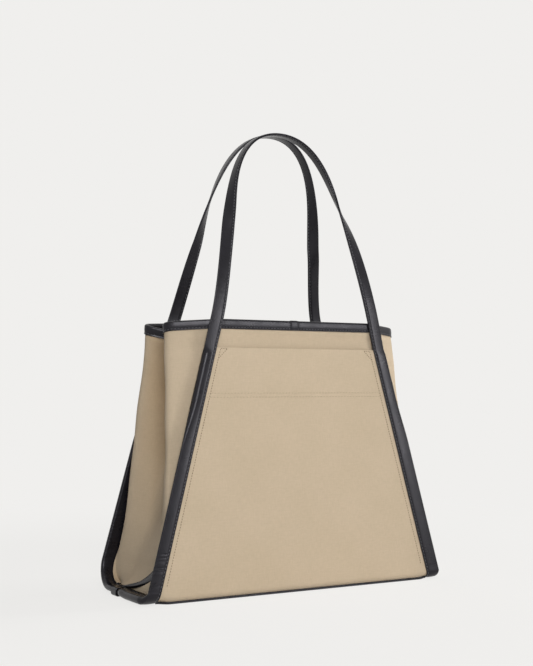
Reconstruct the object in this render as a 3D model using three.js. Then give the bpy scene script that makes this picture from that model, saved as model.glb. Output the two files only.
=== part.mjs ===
// Trapeze tote bag: canvas walls, bellows gussets and base, edged with leather straps that run on as handles.
// Millimetres, +Z up, +X to the bag's right, -Y to the front. The origin is on the floor, under the middle.
import * as THREE from "three";

// Driving dimensions of the bag
const RIM_HEIGHT = 330;
const POCKET_HEIGHT = 297; // the pocket's mouth, where the sewn straps end and the handles begin
const BASE_DEPTH = 149; // over the straps, front to back
const POCKET_DEPTH = 130; // the same at the pocket's mouth
const BASE_WIDTH = 386; // canvas between the straps at the floor
const POCKET_WIDTH = 227; // canvas between the straps at the pocket's mouth
const STRAP_WIDTH = 18.3; // measured level
const MEETING = 12; // the front and back straps meet this far behind the middle of each side
const RIM_BAND = 11; // height of the rim binding
const HEM_BAND = 11; // height of the gusset hems' binding
const KEEPER_WIDTH = 15;

// Where a strap turns under the base: the radius of its outer face, how much of its way outwards it makes there,
// and how far past the middle it runs
const FRONT_CORNER = { radius: 14, spread: 1, reach: MEETING };
const BACK_CORNER = { radius: 34, spread: 0.4, reach: -MEETING };

// Gussets, in plan: a seam inside each strap, a fold that stands out, and one crease between the two folds
const FOLD = { x: 168, y: 25, z: 323.5 }; // at the rim
const FOLD_SLOPE = { x: 0.048, y: 0.14 }; // how much further out and apart the folds are per millimetre down
const CREASE = { x: 118, z: 312 }; // at the rim
const CREASE_SLOPE = 0.22; // how much further out its foot is, per millimetre of its height
const CREASE_CURVE = 2; // it stays deep at first, and comes out towards the foot
const CREASE_FOOT = 11.3; // height of its lower end, at the keeper
const FOOT_FLARE = { out: 36, below: 36 }; // the foot is drawn out to the strap

// Lower edge of a gusset: its height at the seam, how far it stands off the strap and laps over its edge, and how
// far out and down the fold's foot is from there. All of it eases off up to a height.
const FRONT_FOOT = { height: 30, off: 3.6, lap: -1, out: 5, drop: 3, easedAt: 90 };
const BACK_FOOT = { height: 10.4, off: 1.4, lap: 6, out: 8, drop: 0, easedAt: 85 };

// Handles: the middle of the strap
const HANDLE_HEIGHT = 571;
const SHOULDER_HEIGHT = 440; // the legs are straight up to here, then arch
const SHOULDER_Y = -38;
const HANDLE_TOP_Y = -10;
const LEG_SLOPE = 0.25; // inwards, for each millimetre up
const LEG_LEAN = 0.24; // towards the other handle

// Materials' thicknesses and the clearance between neighbours
const CANVAS = 1.4;
const LEATHER = 1.6;
const BINDING = 1.3; // thinner leather, on the rim and the gusset hems
const HANDLE_THICKNESS = 3.2;
const GAP = 0.3;

// Layers of a bound edge, counted inwards from the strap's outer face
const POCKET_LAYER = LEATHER + GAP;
const PANEL_LAYER = POCKET_LAYER + CANVAS + GAP;
const INNER_LEG = PANEL_LAYER + CANVAS + GAP;
const STRAP_DEPTH = INNER_LEG + LEATHER;
const WALL_LAYER = PANEL_LAYER + CANVAS / 2; // the middle of a wall's canvas

// Heights under and inside the base
const KEEPER_THICKNESS = 1.4;
const STRAP_FLOOR = KEEPER_THICKNESS + GAP; // underside of the straps
const BASE_SHEET = 1.6;
const BOARD_THICKNESS = 2;
const LINING = 1.2;
const PIPING_RADIUS = 1.2;

const canvas = new THREE.MeshStandardMaterial({ color: 0xc2b196, roughness: 0.95, metalness: 0 });
const leather = new THREE.MeshStandardMaterial({ color: 0x2a292e, roughness: 0.45, metalness: 0 });
const board = new THREE.MeshStandardMaterial({ color: 0x6b6258, roughness: 0.9, metalness: 0 });

const { lerp, smoothstep } = THREE.MathUtils;
const vec = (x, y, z) => new THREE.Vector3(x, y, z);
const bag = new THREE.Group();

function piece(name, geometry, material, parent = bag) {
  const mesh = new THREE.Mesh(geometry, material);
  mesh.name = name;
  parent.add(mesh);
  return mesh;
}

// The bag is the same on both sides, so a piece is drawn at the front left and turned or mirrored.
function placed({ turned = false, mirrored = false }) {
  const group = new THREE.Group();
  if (mirrored) group.scale.x = -1;
  if (turned) group.rotation.z = Math.PI;
  bag.add(group);
  return group;
}

// Half the bag's depth at a height, to the outer face of the straps
const wallLean = (BASE_DEPTH - POCKET_DEPTH) / 2 / POCKET_HEIGHT;
const halfDepth = (z) => BASE_DEPTH / 2 - wallLean * z;
const LEAN_ANGLE = Math.atan(wallLean);

// Half the width of the canvas between the straps, which is a strap's inner edge
const edgeSlope = (BASE_WIDTH - POCKET_WIDTH) / 2 / POCKET_HEIGHT;
const innerEdge = (z) => BASE_WIDTH / 2 - edgeSlope * z;
const outerEdge = (z) => innerEdge(z) + STRAP_WIDTH;

// A geometry from points and triangles, turned so that its faces point out
function closedGeometry(points, index) {
  const corners = [vec(), vec(), vec()];
  let volume = 0;
  for (let i = 0; i < index.length; i += 3) {
    const [a, b, c] = corners.map((corner, k) => corner.copy(points[index[i + k]]));
    volume += a.dot(b.cross(c));
  }
  if (volume < 0) index.reverse();
  const geometry = new THREE.BufferGeometry().setFromPoints(points);
  geometry.setIndex(index);
  geometry.computeVertexNormals();
  return geometry;
}

// A flat section of [side, depth] points, carried along frames with those two directions
function sweep(outline, frames, { loop = false } = {}) {
  const flat = outline.map(([s, d]) => new THREE.Vector2(s, d));
  const contour = THREE.ShapeUtils.isClockWise(flat) ? flat.reverse() : flat;
  const count = contour.length;
  const points = frames.flatMap(({ at, side, depth }) =>
    contour.map((p) => at.clone().addScaledVector(side, p.x).addScaledVector(depth, p.y)),
  );
  const index = [];
  const spans = loop ? frames.length : frames.length - 1;
  for (let i = 0; i < spans; i++) {
    const here = i * count;
    const next = ((i + 1) % frames.length) * count;
    for (let j = 0; j < count; j++) {
      const k = (j + 1) % count;
      index.push(here + j, here + k, next + k, here + j, next + k, next + j);
    }
  }
  if (!loop) {
    const last = (frames.length - 1) * count;
    for (const [a, b, c] of THREE.ShapeUtils.triangulateShape(contour, [])) {
      index.push(a, c, b, last + a, last + b, last + c);
    }
  }
  return closedGeometry(points, index);
}

// A sheet of cloth with a thickness, from rows of points on its middle surface
function sheet(rows, thickness) {
  const columns = rows[0].length;
  const step = (list, i) => [list[Math.max(i - 1, 0)], list[Math.min(i + 1, list.length - 1)]];
  const faces = [1, -1].map((face) =>
    rows.flatMap((row, r) =>
      row.map((point, c) => {
        const [left, right] = step(row, c);
        const [below, above] = step(rows, r);
        const along = right.clone().sub(left);
        const normal = above[c].clone().sub(below[c]).cross(along).normalize();
        return point.clone().addScaledVector(normal, (face * thickness) / 2);
      }),
    ),
  );
  const offset = rows.length * columns;
  const at = (r, c, back) => r * columns + c + (back ? offset : 0);
  const index = [];
  const quad = (a, b, c, d) => index.push(a, b, c, a, c, d);
  for (let r = 0; r + 1 < rows.length; r++) {
    for (let c = 0; c + 1 < columns; c++) {
      quad(at(r, c), at(r, c + 1), at(r + 1, c + 1), at(r + 1, c));
      quad(at(r, c, 1), at(r + 1, c, 1), at(r + 1, c + 1, 1), at(r, c + 1, 1));
    }
    quad(at(r, 0), at(r + 1, 0), at(r + 1, 0, 1), at(r, 0, 1));
    quad(at(r, columns - 1), at(r, columns - 1, 1), at(r + 1, columns - 1, 1), at(r + 1, columns - 1));
  }
  const top = rows.length - 1;
  for (let c = 0; c + 1 < columns; c++) {
    quad(at(0, c), at(0, c, 1), at(0, c + 1, 1), at(0, c + 1));
    quad(at(top, c), at(top, c + 1), at(top, c + 1, 1), at(top, c, 1));
  }
  return closedGeometry(faces.flat(), index);
}

// An outline's right half, mirrored into a whole one and extruded
function mirroredPlate(half, depth) {
  const mirror = half.map(([x, y]) => [-x, y]).reverse();
  const outline = new THREE.Shape([...half, ...mirror].map(([x, y]) => new THREE.Vector2(x, y)));
  return new THREE.ExtrudeGeometry(outline, { depth, bevelEnabled: false });
}

// A leather binding folded over an edge: two legs of a height, with a slot for the cloth between them
const FOLD_SHARE = 0.6; // how much of the leather's thickness is rounded off at the fold

function foldedBinding(slot, height) {
  const inside = slot / 2;
  const outside = inside + BINDING;
  const round = BINDING * FOLD_SHARE;
  return [
    [-outside, round],
    [round - outside, 0],
    [outside - round, 0],
    [outside, round],
    [outside, height],
    [inside, height],
    [inside, BINDING],
    [-inside, BINDING],
    [-inside, height],
    [-outside, height],
  ];
}

// Front and back walls
const PANEL_FOOT = 2 * PIPING_RADIUS + GAP; // lower edge of the canvas, over the piping
const SLOT_END = LEATHER + 2 * GAP; // from a strap's outer edge to the canvas edge inside it
const WALL_TOP = RIM_HEIGHT - BINDING - GAP;
const NECK = 1; // how far the wall reaches past the straps' inner edges above the pocket
const NECK_SLOPE = 15; // height over which the back wall narrows to its neck
const BEND_GAP = 1.5; // between the canvas and the straps, where it is cut away for their bend
const WALL_SHOULDER = POCKET_HEIGHT - 1; // the walls' wide part ends just inside the straps' upper ends

function wallOutline(top) {
  const bend = STRAP_FLOOR + FRONT_CORNER.radius + BEND_GAP;
  const outline = [
    [innerEdge(PANEL_FOOT) - BEND_GAP, PANEL_FOOT],
    [innerEdge(bend) - BEND_GAP, bend],
    [outerEdge(bend) - SLOT_END, bend],
  ];
  if (top > POCKET_HEIGHT) {
    outline.push([outerEdge(WALL_SHOULDER) - SLOT_END, WALL_SHOULDER]);
    outline.push([innerEdge(WALL_SHOULDER) + NECK, WALL_SHOULDER]);
    outline.push([innerEdge(top) + NECK, top]);
  } else {
    outline.push([outerEdge(top) - SLOT_END, top]);
  }
  return outline;
}

// The front wall stands in a plane that leans back; a plate's +Z points out of the bag
function frontPlate(name, top, layer) {
  const plate = piece(name, mirroredPlate(wallOutline(top), CANVAS), canvas, frontWall);
  plate.position.z = -layer - CANVAS;
}

const frontWall = new THREE.Group();
frontWall.position.y = -BASE_DEPTH / 2;
frontWall.rotation.x = Math.PI / 2 - LEAN_ANGLE;
bag.add(frontWall);
frontPlate("front_panel", WALL_TOP, PANEL_LAYER);
frontPlate("front_pocket", POCKET_HEIGHT, POCKET_LAYER);

// Straps that bind the walls' slanted edges, turn under the base and meet at the middle of each side
const STRAP_SECTION = [
  [0, 0],
  [0, LEATHER],
  [STRAP_WIDTH - LEATHER, LEATHER],
  [STRAP_WIDTH - LEATHER, INNER_LEG],
  [0, INNER_LEG],
  [0, STRAP_DEPTH],
  [STRAP_WIDTH - LEATHER / 2, STRAP_DEPTH],
  [STRAP_WIDTH, STRAP_DEPTH - LEATHER],
  [STRAP_WIDTH, LEATHER],
  [STRAP_WIDTH - LEATHER / 2, 0],
];
const STRAIGHT_STEPS = 4;
const CORNER_STEPS = 10;
const RUN_STEPS = 4;

// The bend's centre, on the front left
function bendCentre({ radius }) {
  const z = STRAP_FLOOR + radius;
  return vec(0, radius - halfDepth(z), z);
}

// A strap's inner edge on its outer face: down the wall, round the bend and along the base's side
function strapFrames(corner) {
  const side = vec(-1, 0, 0);
  const inwardAt = (angle) => vec(0, Math.cos(angle), Math.sin(angle));
  const centre = bendCentre(corner);
  const bendX = innerEdge(centre.z);
  const runX = lerp(bendX, BASE_WIDTH / 2, corner.spread);
  const frames = [];
  for (let i = 0; i < STRAIGHT_STEPS; i++) {
    const z = lerp(POCKET_HEIGHT, centre.z, i / STRAIGHT_STEPS);
    frames.push({ at: vec(-innerEdge(z), -halfDepth(z), z), side, depth: inwardAt(0) });
  }
  for (let i = 0; i <= CORNER_STEPS; i++) {
    const depth = inwardAt((Math.PI / 2) * (i / CORNER_STEPS));
    const at = centre.clone().addScaledVector(depth, -corner.radius);
    frames.push({ at: at.setX(-lerp(bendX, runX, i / CORNER_STEPS)), side, depth });
  }
  for (let i = 1; i <= RUN_STEPS; i++) {
    const share = i / RUN_STEPS;
    const x = lerp(runX, BASE_WIDTH / 2, Math.sin((share * Math.PI) / 2));
    const at = vec(-x, lerp(centre.y, corner.reach - GAP / 2, share), STRAP_FLOOR);
    frames.push({ at, side, depth: inwardAt(Math.PI / 2) });
  }
  return frames;
}

const frontStrap = sweep(STRAP_SECTION, strapFrames(FRONT_CORNER));
const backStrap = sweep(STRAP_SECTION, strapFrames(BACK_CORNER));
piece("front_left_strap", frontStrap, leather, placed({}));
piece("front_right_strap", frontStrap, leather, placed({ mirrored: true }));
piece("back_right_strap", backStrap, leather, placed({ turned: true }));
piece("back_left_strap", backStrap, leather, placed({ turned: true, mirrored: true }));

// The back wall and the base are slack at their two shared corners, where they follow the straps' rounder bend
const SLACK_START = 100; // from the middle, where the corner begins to round off
const slackEnd = innerEdge(bendCentre(BACK_CORNER).z) - 2 * BEND_GAP;
const slack = (x) => smoothstep(Math.abs(x), SLACK_START, slackEnd);
const BEND_SEAM = 17; // height of the wall's lower edge at the straps
const bothSides = (shares) => [...shares.toReversed().map((share) => -share), 0, ...shares];

// Middle of the back wall's canvas at a place across it and a height
function backWallPoint(x, z) {
  const radius = lerp(0, BACK_CORNER.radius - WALL_LAYER, slack(x));
  const bendTop = radius + lerp(BASE_SHEET / 2, STRAP_FLOOR + WALL_LAYER, slack(x));
  const drop = Math.max(0, bendTop - z);
  const y = halfDepth(Math.max(z, bendTop)) - WALL_LAYER - radius + Math.sqrt(radius ** 2 - drop ** 2);
  return vec(x, y, z);
}

function backPanelGeometry() {
  const bend = bendCentre(BACK_CORNER).z;
  const across = bothSides([0.3, 0.5, 0.6, 0.7, 0.8, 0.88, 0.94, 1]);
  const halfWidth = (z) => outerEdge(Math.max(z, bend)) - SLOT_END;
  const lowRows = [0, 0.15, 0.3, 0.45, 0.6, 0.8, 1].map((share) =>
    across.map((u) => {
      const x = u * halfWidth(bend);
      const z = lerp(lerp(PANEL_FOOT, BEND_SEAM, slack(x)), bend, share);
      return backWallPoint(x, z);
    }),
  );
  const shoulder = WALL_SHOULDER - NECK_SLOPE;
  const neck = (z) => innerEdge(z) + NECK;
  const straightRow = (width) => (z) => across.map((u) => backWallPoint(u * width(z), z));
  const wideRows = [lerp(bend, shoulder, 0.5), shoulder].map(straightRow(halfWidth));
  const neckRows = [WALL_SHOULDER, WALL_TOP].map(straightRow(neck));
  return sheet([...lowRows, ...wideRows, ...neckRows], CANVAS);
}

piece("back_panel", backPanelGeometry(), canvas);

// Base: a canvas sheet that steps up into the side straps, a stiffening board and a canvas floor over it
const FLANGE_LAYER = (LEATHER + INNER_LEG) / 2; // the middle of a strap's slot
const FLANGE_END = BASE_WIDTH / 2 + 8; // inside the straps
const STEP_FOOT = BASE_WIDTH / 2 - 13;
const STEP_HEAD = BASE_WIDTH / 2 - 9;
const STEP_FRONT = 2; // the flange's front end, behind the start of the straps' bend
const BASE_INSET = 4.6; // the canvas ends this far inside the walls' outer faces
const BASE_HALF_DEPTH = BASE_DEPTH / 2 - BASE_INSET;
const SLACK_SEAM_ANGLE = 0.75; // how far round the bend the base reaches
const SLACK_COLUMNS = [0.2, 0.4, 0.6, 0.8].map((share) => lerp(SLACK_START, STEP_FOOT, share));

function basePanelGeometry() {
  const slackRadius = BACK_CORNER.radius - FLANGE_LAYER;
  const slackBack = slackRadius * Math.sin(SLACK_SEAM_ANGLE) - bendCentre(BACK_CORNER).y;
  const across = bothSides([SLACK_START / 2, SLACK_START, ...SLACK_COLUMNS, STEP_FOOT, STEP_HEAD, FLANGE_END]);
  const shares = [0, 0.35, 0.65, 0.72, 0.79, 0.86, 0.93, 1];
  const rows = shares.map((share) =>
    across.map((x) => {
      const onFlange = smoothstep(Math.abs(x), STEP_FOOT, STEP_HEAD);
      const flatZ = lerp(BASE_SHEET / 2, STRAP_FLOOR + FLANGE_LAYER, onFlange);
      const bend = slackRadius * slack(x);
      const bendStart = halfDepth(flatZ + bend) - FLANGE_LAYER - bend;
      const front = lerp(-BASE_HALF_DEPTH, bendCentre(FRONT_CORNER).y + STEP_FRONT, onFlange);
      const back = lerp(BASE_HALF_DEPTH, slackBack, slack(x));
      const y = lerp(front, back, share);
      const past = Math.max(0, y - bendStart);
      return vec(x, y, flatZ + bend - Math.sqrt(bend ** 2 - past ** 2));
    }),
  );
  return sheet(rows, BASE_SHEET);
}

// The board and its cover, cut off in two slants at the slack corners
const FLOOR = { halfLength: STEP_FOOT - 3, halfDepth: BASE_HALF_DEPTH - 4 };
const FLOOR_CUT = { length: FLOOR.halfLength - SLACK_START + 8, depth: 42 };
const CUT_CORNER = { length: 27, depth: 26 };

function flatFloor(thickness, z) {
  const { halfLength, halfDepth: depth } = FLOOR;
  const outline = [
    [halfLength, -depth],
    [halfLength, depth - FLOOR_CUT.depth],
    [halfLength - CUT_CORNER.length, depth - CUT_CORNER.depth],
    [halfLength - FLOOR_CUT.length, depth],
  ];
  return mirroredPlate(outline, thickness).translate(0, 0, z);
}

piece("base_panel", basePanelGeometry(), canvas);
const boardZ = BASE_SHEET + GAP;
piece("base_board", flatFloor(BOARD_THICKNESS, boardZ), board);
piece("floor_lining", flatFloor(LINING, boardZ + BOARD_THICKNESS + GAP), canvas);

// Piping along the long bottom edges; the back one rises with the slack corners
const PIPING_SIDES = 10;
const PIPING_STEPS = 28;

function pipingGeometry(halfLength, middleAt) {
  const section = new THREE.EllipseCurve(0, 0, PIPING_RADIUS, PIPING_RADIUS).getPoints(PIPING_SIDES);
  const frames = Array.from({ length: PIPING_STEPS + 1 }, (_, i) => {
    const at = middleAt(lerp(-halfLength, halfLength, i / PIPING_STEPS));
    return { at, side: vec(0, 1, 0), depth: vec(0, 0, 1) };
  });
  return sweep(section.slice(0, -1).map((p) => [p.x, p.y]), frames);
}

const pipingY = BASE_DEPTH / 2 - PIPING_RADIUS;
const frontPiping = (x) => vec(x, -pipingY, PIPING_RADIUS);
const PIPING_RISE = 11;
const PIPING_INSET = 10.5;
const backPiping = (x) => vec(x, pipingY - PIPING_INSET * slack(x), PIPING_RADIUS + PIPING_RISE * slack(x));
const PIPING_END = 3; // short of the straps
piece("front_bottom_piping", pipingGeometry(BASE_WIDTH / 2 - PIPING_END, frontPiping), leather);
piece("back_bottom_piping", pipingGeometry(STEP_FOOT, backPiping), leather);

// Bellows gussets, drawn on the left: from hem to rim, the seam, fold and crease are lines that the cloth joins
const SEAM_CLEARANCE = GAP + CANVAS / 2; // from a strap's inner face to the middle of the cloth
const SEAM_LAP = -1; // the seam laps this far over the strap's inner edge,
const RIM_SEAM = 3.4; // and this far outside it at the rim, beside the wall
const RIM_CLEARANCE = 2; // below the rim's binding, where the seam comes into line with the wall
const FOLD_CLEARANCE = 3; // the least way from the seam to the fold, towards the bag's middle
const ROW_SHARES = [0, 0.02, 0.045, 0.08, 0.12, 0.2, 0.3, 0.45, 0.6, 0.75, 0.904, 0.96, 1];
const CORNER_POINTS = 6;

// Half the bag's depth at a height, to a line off the inner face of the straps
function strapInside(z, corner, off) {
  const centre = bendCentre(corner);
  const inset = STRAP_DEPTH + off;
  if (z >= centre.z) return halfDepth(z) - inset;
  return Math.sqrt((corner.radius - inset) ** 2 - (centre.z - z) ** 2) - centre.y;
}

// The seam and fold of one half of the gusset, at a share of its height
function halfGusset(share, foot, corner) {
  const z = lerp(foot.height, WALL_TOP, share);
  const atRim = smoothstep(z, POCKET_HEIGHT, RIM_HEIGHT - RIM_BAND - RIM_CLEARANCE);
  const atFoot = 1 - smoothstep(z, foot.height, foot.easedAt);
  const insideStrap = strapInside(z, corner, lerp(SEAM_CLEARANCE, foot.off, atFoot));
  const y = lerp(insideStrap, halfDepth(z) - WALL_LAYER, atRim);
  const edge = Math.min(innerEdge(z), innerEdge(bendCentre(corner).z));
  const lap = lerp(lerp(SEAM_LAP, foot.lap, atFoot), RIM_SEAM, atRim);
  const foldZ = lerp(foot.height - foot.drop, FOLD.z, share);
  const foldX = FOLD.x + FOLD_SLOPE.x * (FOLD.z - foldZ) + foot.out * atFoot;
  const foldY = FOLD.y + FOLD_SLOPE.y * (FOLD.z - foldZ);
  return { seam: vec(-edge - lap, y, z), fold: vec(-foldX, Math.min(foldY, y - FOLD_CLEARANCE), foldZ) };
}

// The crease's place at a share of the gusset's height
function creaseAt(share) {
  const z = lerp(CREASE_FOOT, CREASE.z, share);
  const flare = FOOT_FLARE.out * Math.max(0, 1 - z / FOOT_FLARE.below) ** 2;
  const out = CREASE_SLOPE * (CREASE.z - CREASE_FOOT) * (1 - share) ** CREASE_CURVE;
  return vec(-CREASE.x - out - flare, MEETING * (1 - share), z);
}

const FOLD_ROUNDING = 0.3; // the share of a fold's two legs that its rounding takes
const CREASE_ROUNDING = 0.3;

// A corner rounded by a curve that leaves its two legs at a share of their length
function roundedCorner(before, corner, after, share) {
  const start = corner.clone().lerp(before, share);
  const end = corner.clone().lerp(after, share);
  return new THREE.QuadraticBezierCurve3(start, corner, end).getPoints(CORNER_POINTS);
}

const mirrorY = (p) => vec(p.x, -p.y, p.z);

function gussetRow(share) {
  const front = halfGusset(share, FRONT_FOOT, FRONT_CORNER);
  const back = halfGusset(share, BACK_FOOT, BACK_CORNER);
  const [frontSeam, frontFold] = [front.seam, front.fold].map(mirrorY);
  const crease = creaseAt(share);
  return [
    frontSeam,
    ...roundedCorner(frontSeam, frontFold, crease, FOLD_ROUNDING),
    ...roundedCorner(frontFold, crease, back.fold, CREASE_ROUNDING),
    ...roundedCorner(crease, back.fold, back.seam, FOLD_ROUNDING),
    back.seam,
  ];
}

const gussetRows = ROW_SHARES.map(gussetRow);
const gussetGeometry = sheet(gussetRows, CANVAS);

// Frames of a binding along an edge: its depth follows the cloth, and its side is square to both
function bindingFrames(edge, into, { loop = false } = {}) {
  return edge.map((at, i) => {
    const before = loop ? edge.at(i - 1) : edge[Math.max(i - 1, 0)];
    const after = loop ? edge[(i + 1) % edge.length] : edge[Math.min(i + 1, edge.length - 1)];
    const depth = into[i].clone().sub(at).normalize();
    const side = depth.clone().cross(after.clone().sub(before)).normalize();
    return { at: at.clone().addScaledVector(depth, -BINDING - GAP), side, depth };
  });
}

// The hem binds the gusset's lower edge from the front fold to the crease, where the keeper ties it down.
// Behind the crease the cloth is sewn to the strap.
const HEM_SLOT = CANVAS + 6 * GAP;
const HEM_SHARE = 0.035; // of the gusset's height, at the hem's upper edge
const creaseMiddle = 1 + CORNER_POINTS + 1 + CORNER_POINTS / 2;
const hemSpan = (row) => row.slice(1, creaseMiddle + 1);
const hemFrames = bindingFrames(hemSpan(gussetRow(0)), hemSpan(gussetRow(HEM_SHARE)));
const hemGeometry = sweep(foldedBinding(HEM_SLOT, HEM_BAND), hemFrames);

// Gores: canvas corners that rise from the base behind the hems and close the gap under them
const GORE_FOOT = { x: BASE_WIDTH / 2 - 2.5, front: -58, z: 7 };
const GORE_TOP = vec(-177, -60.5, 36);
const GORE_END = vec(-189.5, 6, 10.5); // where it runs out, by the keeper
const GORE_ROWS = 4;
const GORE_COLUMNS = 8;

function goreGeometry() {
  const rows = Array.from({ length: GORE_ROWS + 1 }, (_, r) =>
    Array.from({ length: GORE_COLUMNS + 1 }, (_, c) => {
      const along = c / GORE_COLUMNS;
      const foot = vec(-GORE_FOOT.x, lerp(GORE_FOOT.front, GORE_END.y, along), GORE_FOOT.z);
      return foot.lerp(GORE_TOP.clone().lerp(GORE_END, along), r / GORE_ROWS);
    }),
  );
  return sheet(rows, CANVAS);
}

const gore = goreGeometry();

// Keepers: a leather loop that ties each hem to its strap and covers the strap's ends
const KEEPER_LIP = 5.5; // how far it reaches over the strap,
const KEEPER_FOOT = 3; // and past the strap's inner edge under it

function keeperGeometry() {
  const out = outerEdge(0) + GAP;
  const over = STRAP_FLOOR + STRAP_DEPTH + GAP;
  const lip = out - KEEPER_LIP;
  const foot = BASE_WIDTH / 2 - KEEPER_FOOT;
  const t = KEEPER_THICKNESS;
  const outline = [
    [foot, 0],
    [out + t / 2, 0],
    [out + t, t / 2],
    [out + t, over + t / 2],
    [out + t / 2, over + t],
    [lip, over + t],
    [lip, over],
    [out, over],
    [out, t],
    [foot, t],
  ];
  const shape = new THREE.Shape(outline.map(([x, z]) => new THREE.Vector2(-x, z)));
  const loop = new THREE.ExtrudeGeometry(shape, { depth: KEEPER_WIDTH, bevelEnabled: false });
  loop.rotateX(Math.PI / 2);
  loop.translate(0, MEETING + KEEPER_WIDTH / 2, 0);
  return loop;
}

for (const mirrored of [false, true]) {
  const name = mirrored ? "right" : "left";
  piece(`${name}_gusset`, gussetGeometry, canvas, placed({ mirrored }));
  piece(`${name}_gusset_hem`, hemGeometry, leather, placed({ mirrored }));
  piece(`${name}_base_gore`, gore, canvas, placed({ mirrored }));
  piece(`${name}_keeper`, keeperGeometry(), leather, placed({ mirrored }));
}

// Rim binding: one strip folded over the walls' and gussets' top edges, all round the mouth
const RIM_SLOT = CANVAS + 4 * GAP;
const WALL_POINTS = 5;
const WALL_END = 3; // the wall's straight stretch of rim ends this far inside the straps' line

// One level of the mouth's outline: front wall, right gusset, back wall, left gusset
function mouthLine(gussetRow) {
  const z = gussetRow[0].z;
  const half = innerEdge(RIM_HEIGHT) - WALL_END;
  const front = Array.from({ length: WALL_POINTS }, (_, i) =>
    vec(lerp(-half, half, i / (WALL_POINTS - 1)), WALL_LAYER - halfDepth(z), z),
  );
  const right = gussetRow.map((p) => vec(-p.x, p.y, p.z));
  const back = front.map(mirrorY).reverse();
  return [...front, ...right, ...back, ...gussetRow.toReversed()];
}

const rimEdge = mouthLine(gussetRows.at(-1));
const rimInto = mouthLine(gussetRows.at(-2));
const rimFrames = bindingFrames(rimEdge, rimInto, { loop: true });
piece("rim_binding", sweep(foldedBinding(RIM_SLOT, RIM_BAND), rimFrames, { loop: true }), leather);

// Handles: flat straps that twist a quarter turn on their way up, so that they arch without creasing
const LEG_TENSION = 36; // reach of the curves' control points
const ARCH_TENSION = 85;
const CROWN_TENSION = 45;
const HANDLE_STEPS = 56;
const TWIST_POWER = 1.4; // above 1 the twist is made mostly in the lower half
const RIM_PASS = 2; // the legs are clear of the rim this far over it
const TANGENT_STEP = 1e-3;
const EDGE_ROUNDING = 0.6; // share of half the thickness

// The front handle's left half, from where it is sewn in, clear of the rim binding, up to the crown
function handleHalf() {
  const footX = -innerEdge(POCKET_HEIGHT) - STRAP_WIDTH / 2;
  const footZ = POCKET_HEIGHT + GAP;
  const onLeg = (y, z) => vec(footX + LEG_SLOPE * (z - footZ), y, z);
  const foot = onLeg(HANDLE_THICKNESS / 2 - halfDepth(POCKET_HEIGHT), footZ);
  const rim = onLeg(-halfDepth(RIM_HEIGHT) - GAP, RIM_HEIGHT + RIM_PASS);
  const shoulder = onLeg(SHOULDER_Y, SHOULDER_HEIGHT);
  const crown = vec(0, HANDLE_TOP_Y, HANDLE_HEIGHT);
  const upLeg = vec(LEG_SLOPE, LEG_LEAN, 1);
  const leaveRim = rim.clone().addScaledVector(vec(LEG_SLOPE, 0, 1), LEG_TENSION);
  const reachShoulder = shoulder.clone().addScaledVector(upLeg, -LEG_TENSION);
  const leaveShoulder = shoulder.clone().addScaledVector(upLeg, ARCH_TENSION);
  const reachCrown = crown.clone().setX(-CROWN_TENSION);
  const half = new THREE.CurvePath();
  half.add(new THREE.LineCurve3(foot, rim));
  half.add(new THREE.CubicBezierCurve3(rim, leaveRim, reachShoulder, shoulder));
  half.add(new THREE.CubicBezierCurve3(shoulder, leaveShoulder, reachCrown, crown));
  return half;
}

function handleFrames() {
  const half = handleHalf();
  const share = (t) => (t <= 0.5 ? 2 * t : 2 - 2 * t);
  const point = (t) => {
    const p = half.getPointAt(share(t));
    return t <= 0.5 ? p : vec(-p.x, p.y, p.z);
  };
  const straight = (RIM_HEIGHT - POCKET_HEIGHT) / half.getLength();
  return Array.from({ length: HANDLE_STEPS + 1 }, (_, i) => {
    const t = i / HANDLE_STEPS;
    const ahead = point(Math.min(t + TANGENT_STEP, 1));
    const along = ahead.sub(point(Math.max(t - TANGENT_STEP, 0))).normalize();
    const outward = vec(0, -1, 0).cross(along).normalize();
    const forward = along.clone().cross(outward).normalize();
    const climbed = THREE.MathUtils.clamp((share(t) - straight) / (1 - straight), 0, 1);
    const twist = (Math.PI / 2) * (1 - (1 - climbed) ** TWIST_POWER);
    const face = forward.clone().multiplyScalar(Math.cos(twist)).addScaledVector(outward, Math.sin(twist));
    const side = outward.clone().multiplyScalar(Math.cos(twist)).addScaledVector(forward, -Math.sin(twist));
    const level = vec(t <= 0.5 ? -1 : 1, 0, 0); // the sewn ends are cut level
    const freed = smoothstep(share(t), 0, straight);
    side.lerpVectors(level, side, freed).normalize();
    return { at: point(t), side, depth: face.lerpVectors(vec(0, -1, 0), face, freed).normalize() };
  });
}

function handleSection() {
  const half = STRAP_WIDTH / 2;
  const thick = HANDLE_THICKNESS / 2;
  const round = thick * EDGE_ROUNDING;
  return [
    [-half, round - thick],
    [round - half, -thick],
    [half - round, -thick],
    [half, round - thick],
    [half, thick - round],
    [half - round, thick],
    [round - half, thick],
    [-half, thick - round],
  ];
}

const handleGeometry = sweep(handleSection(), handleFrames());
piece("front_handle", handleGeometry, leather, placed({}));
piece("back_handle", handleGeometry, leather, placed({ turned: true }));

export default bag;
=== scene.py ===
"""A trapeze canvas tote bag: cloth, leather, thread and a plain studio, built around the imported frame."""

import math

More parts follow.
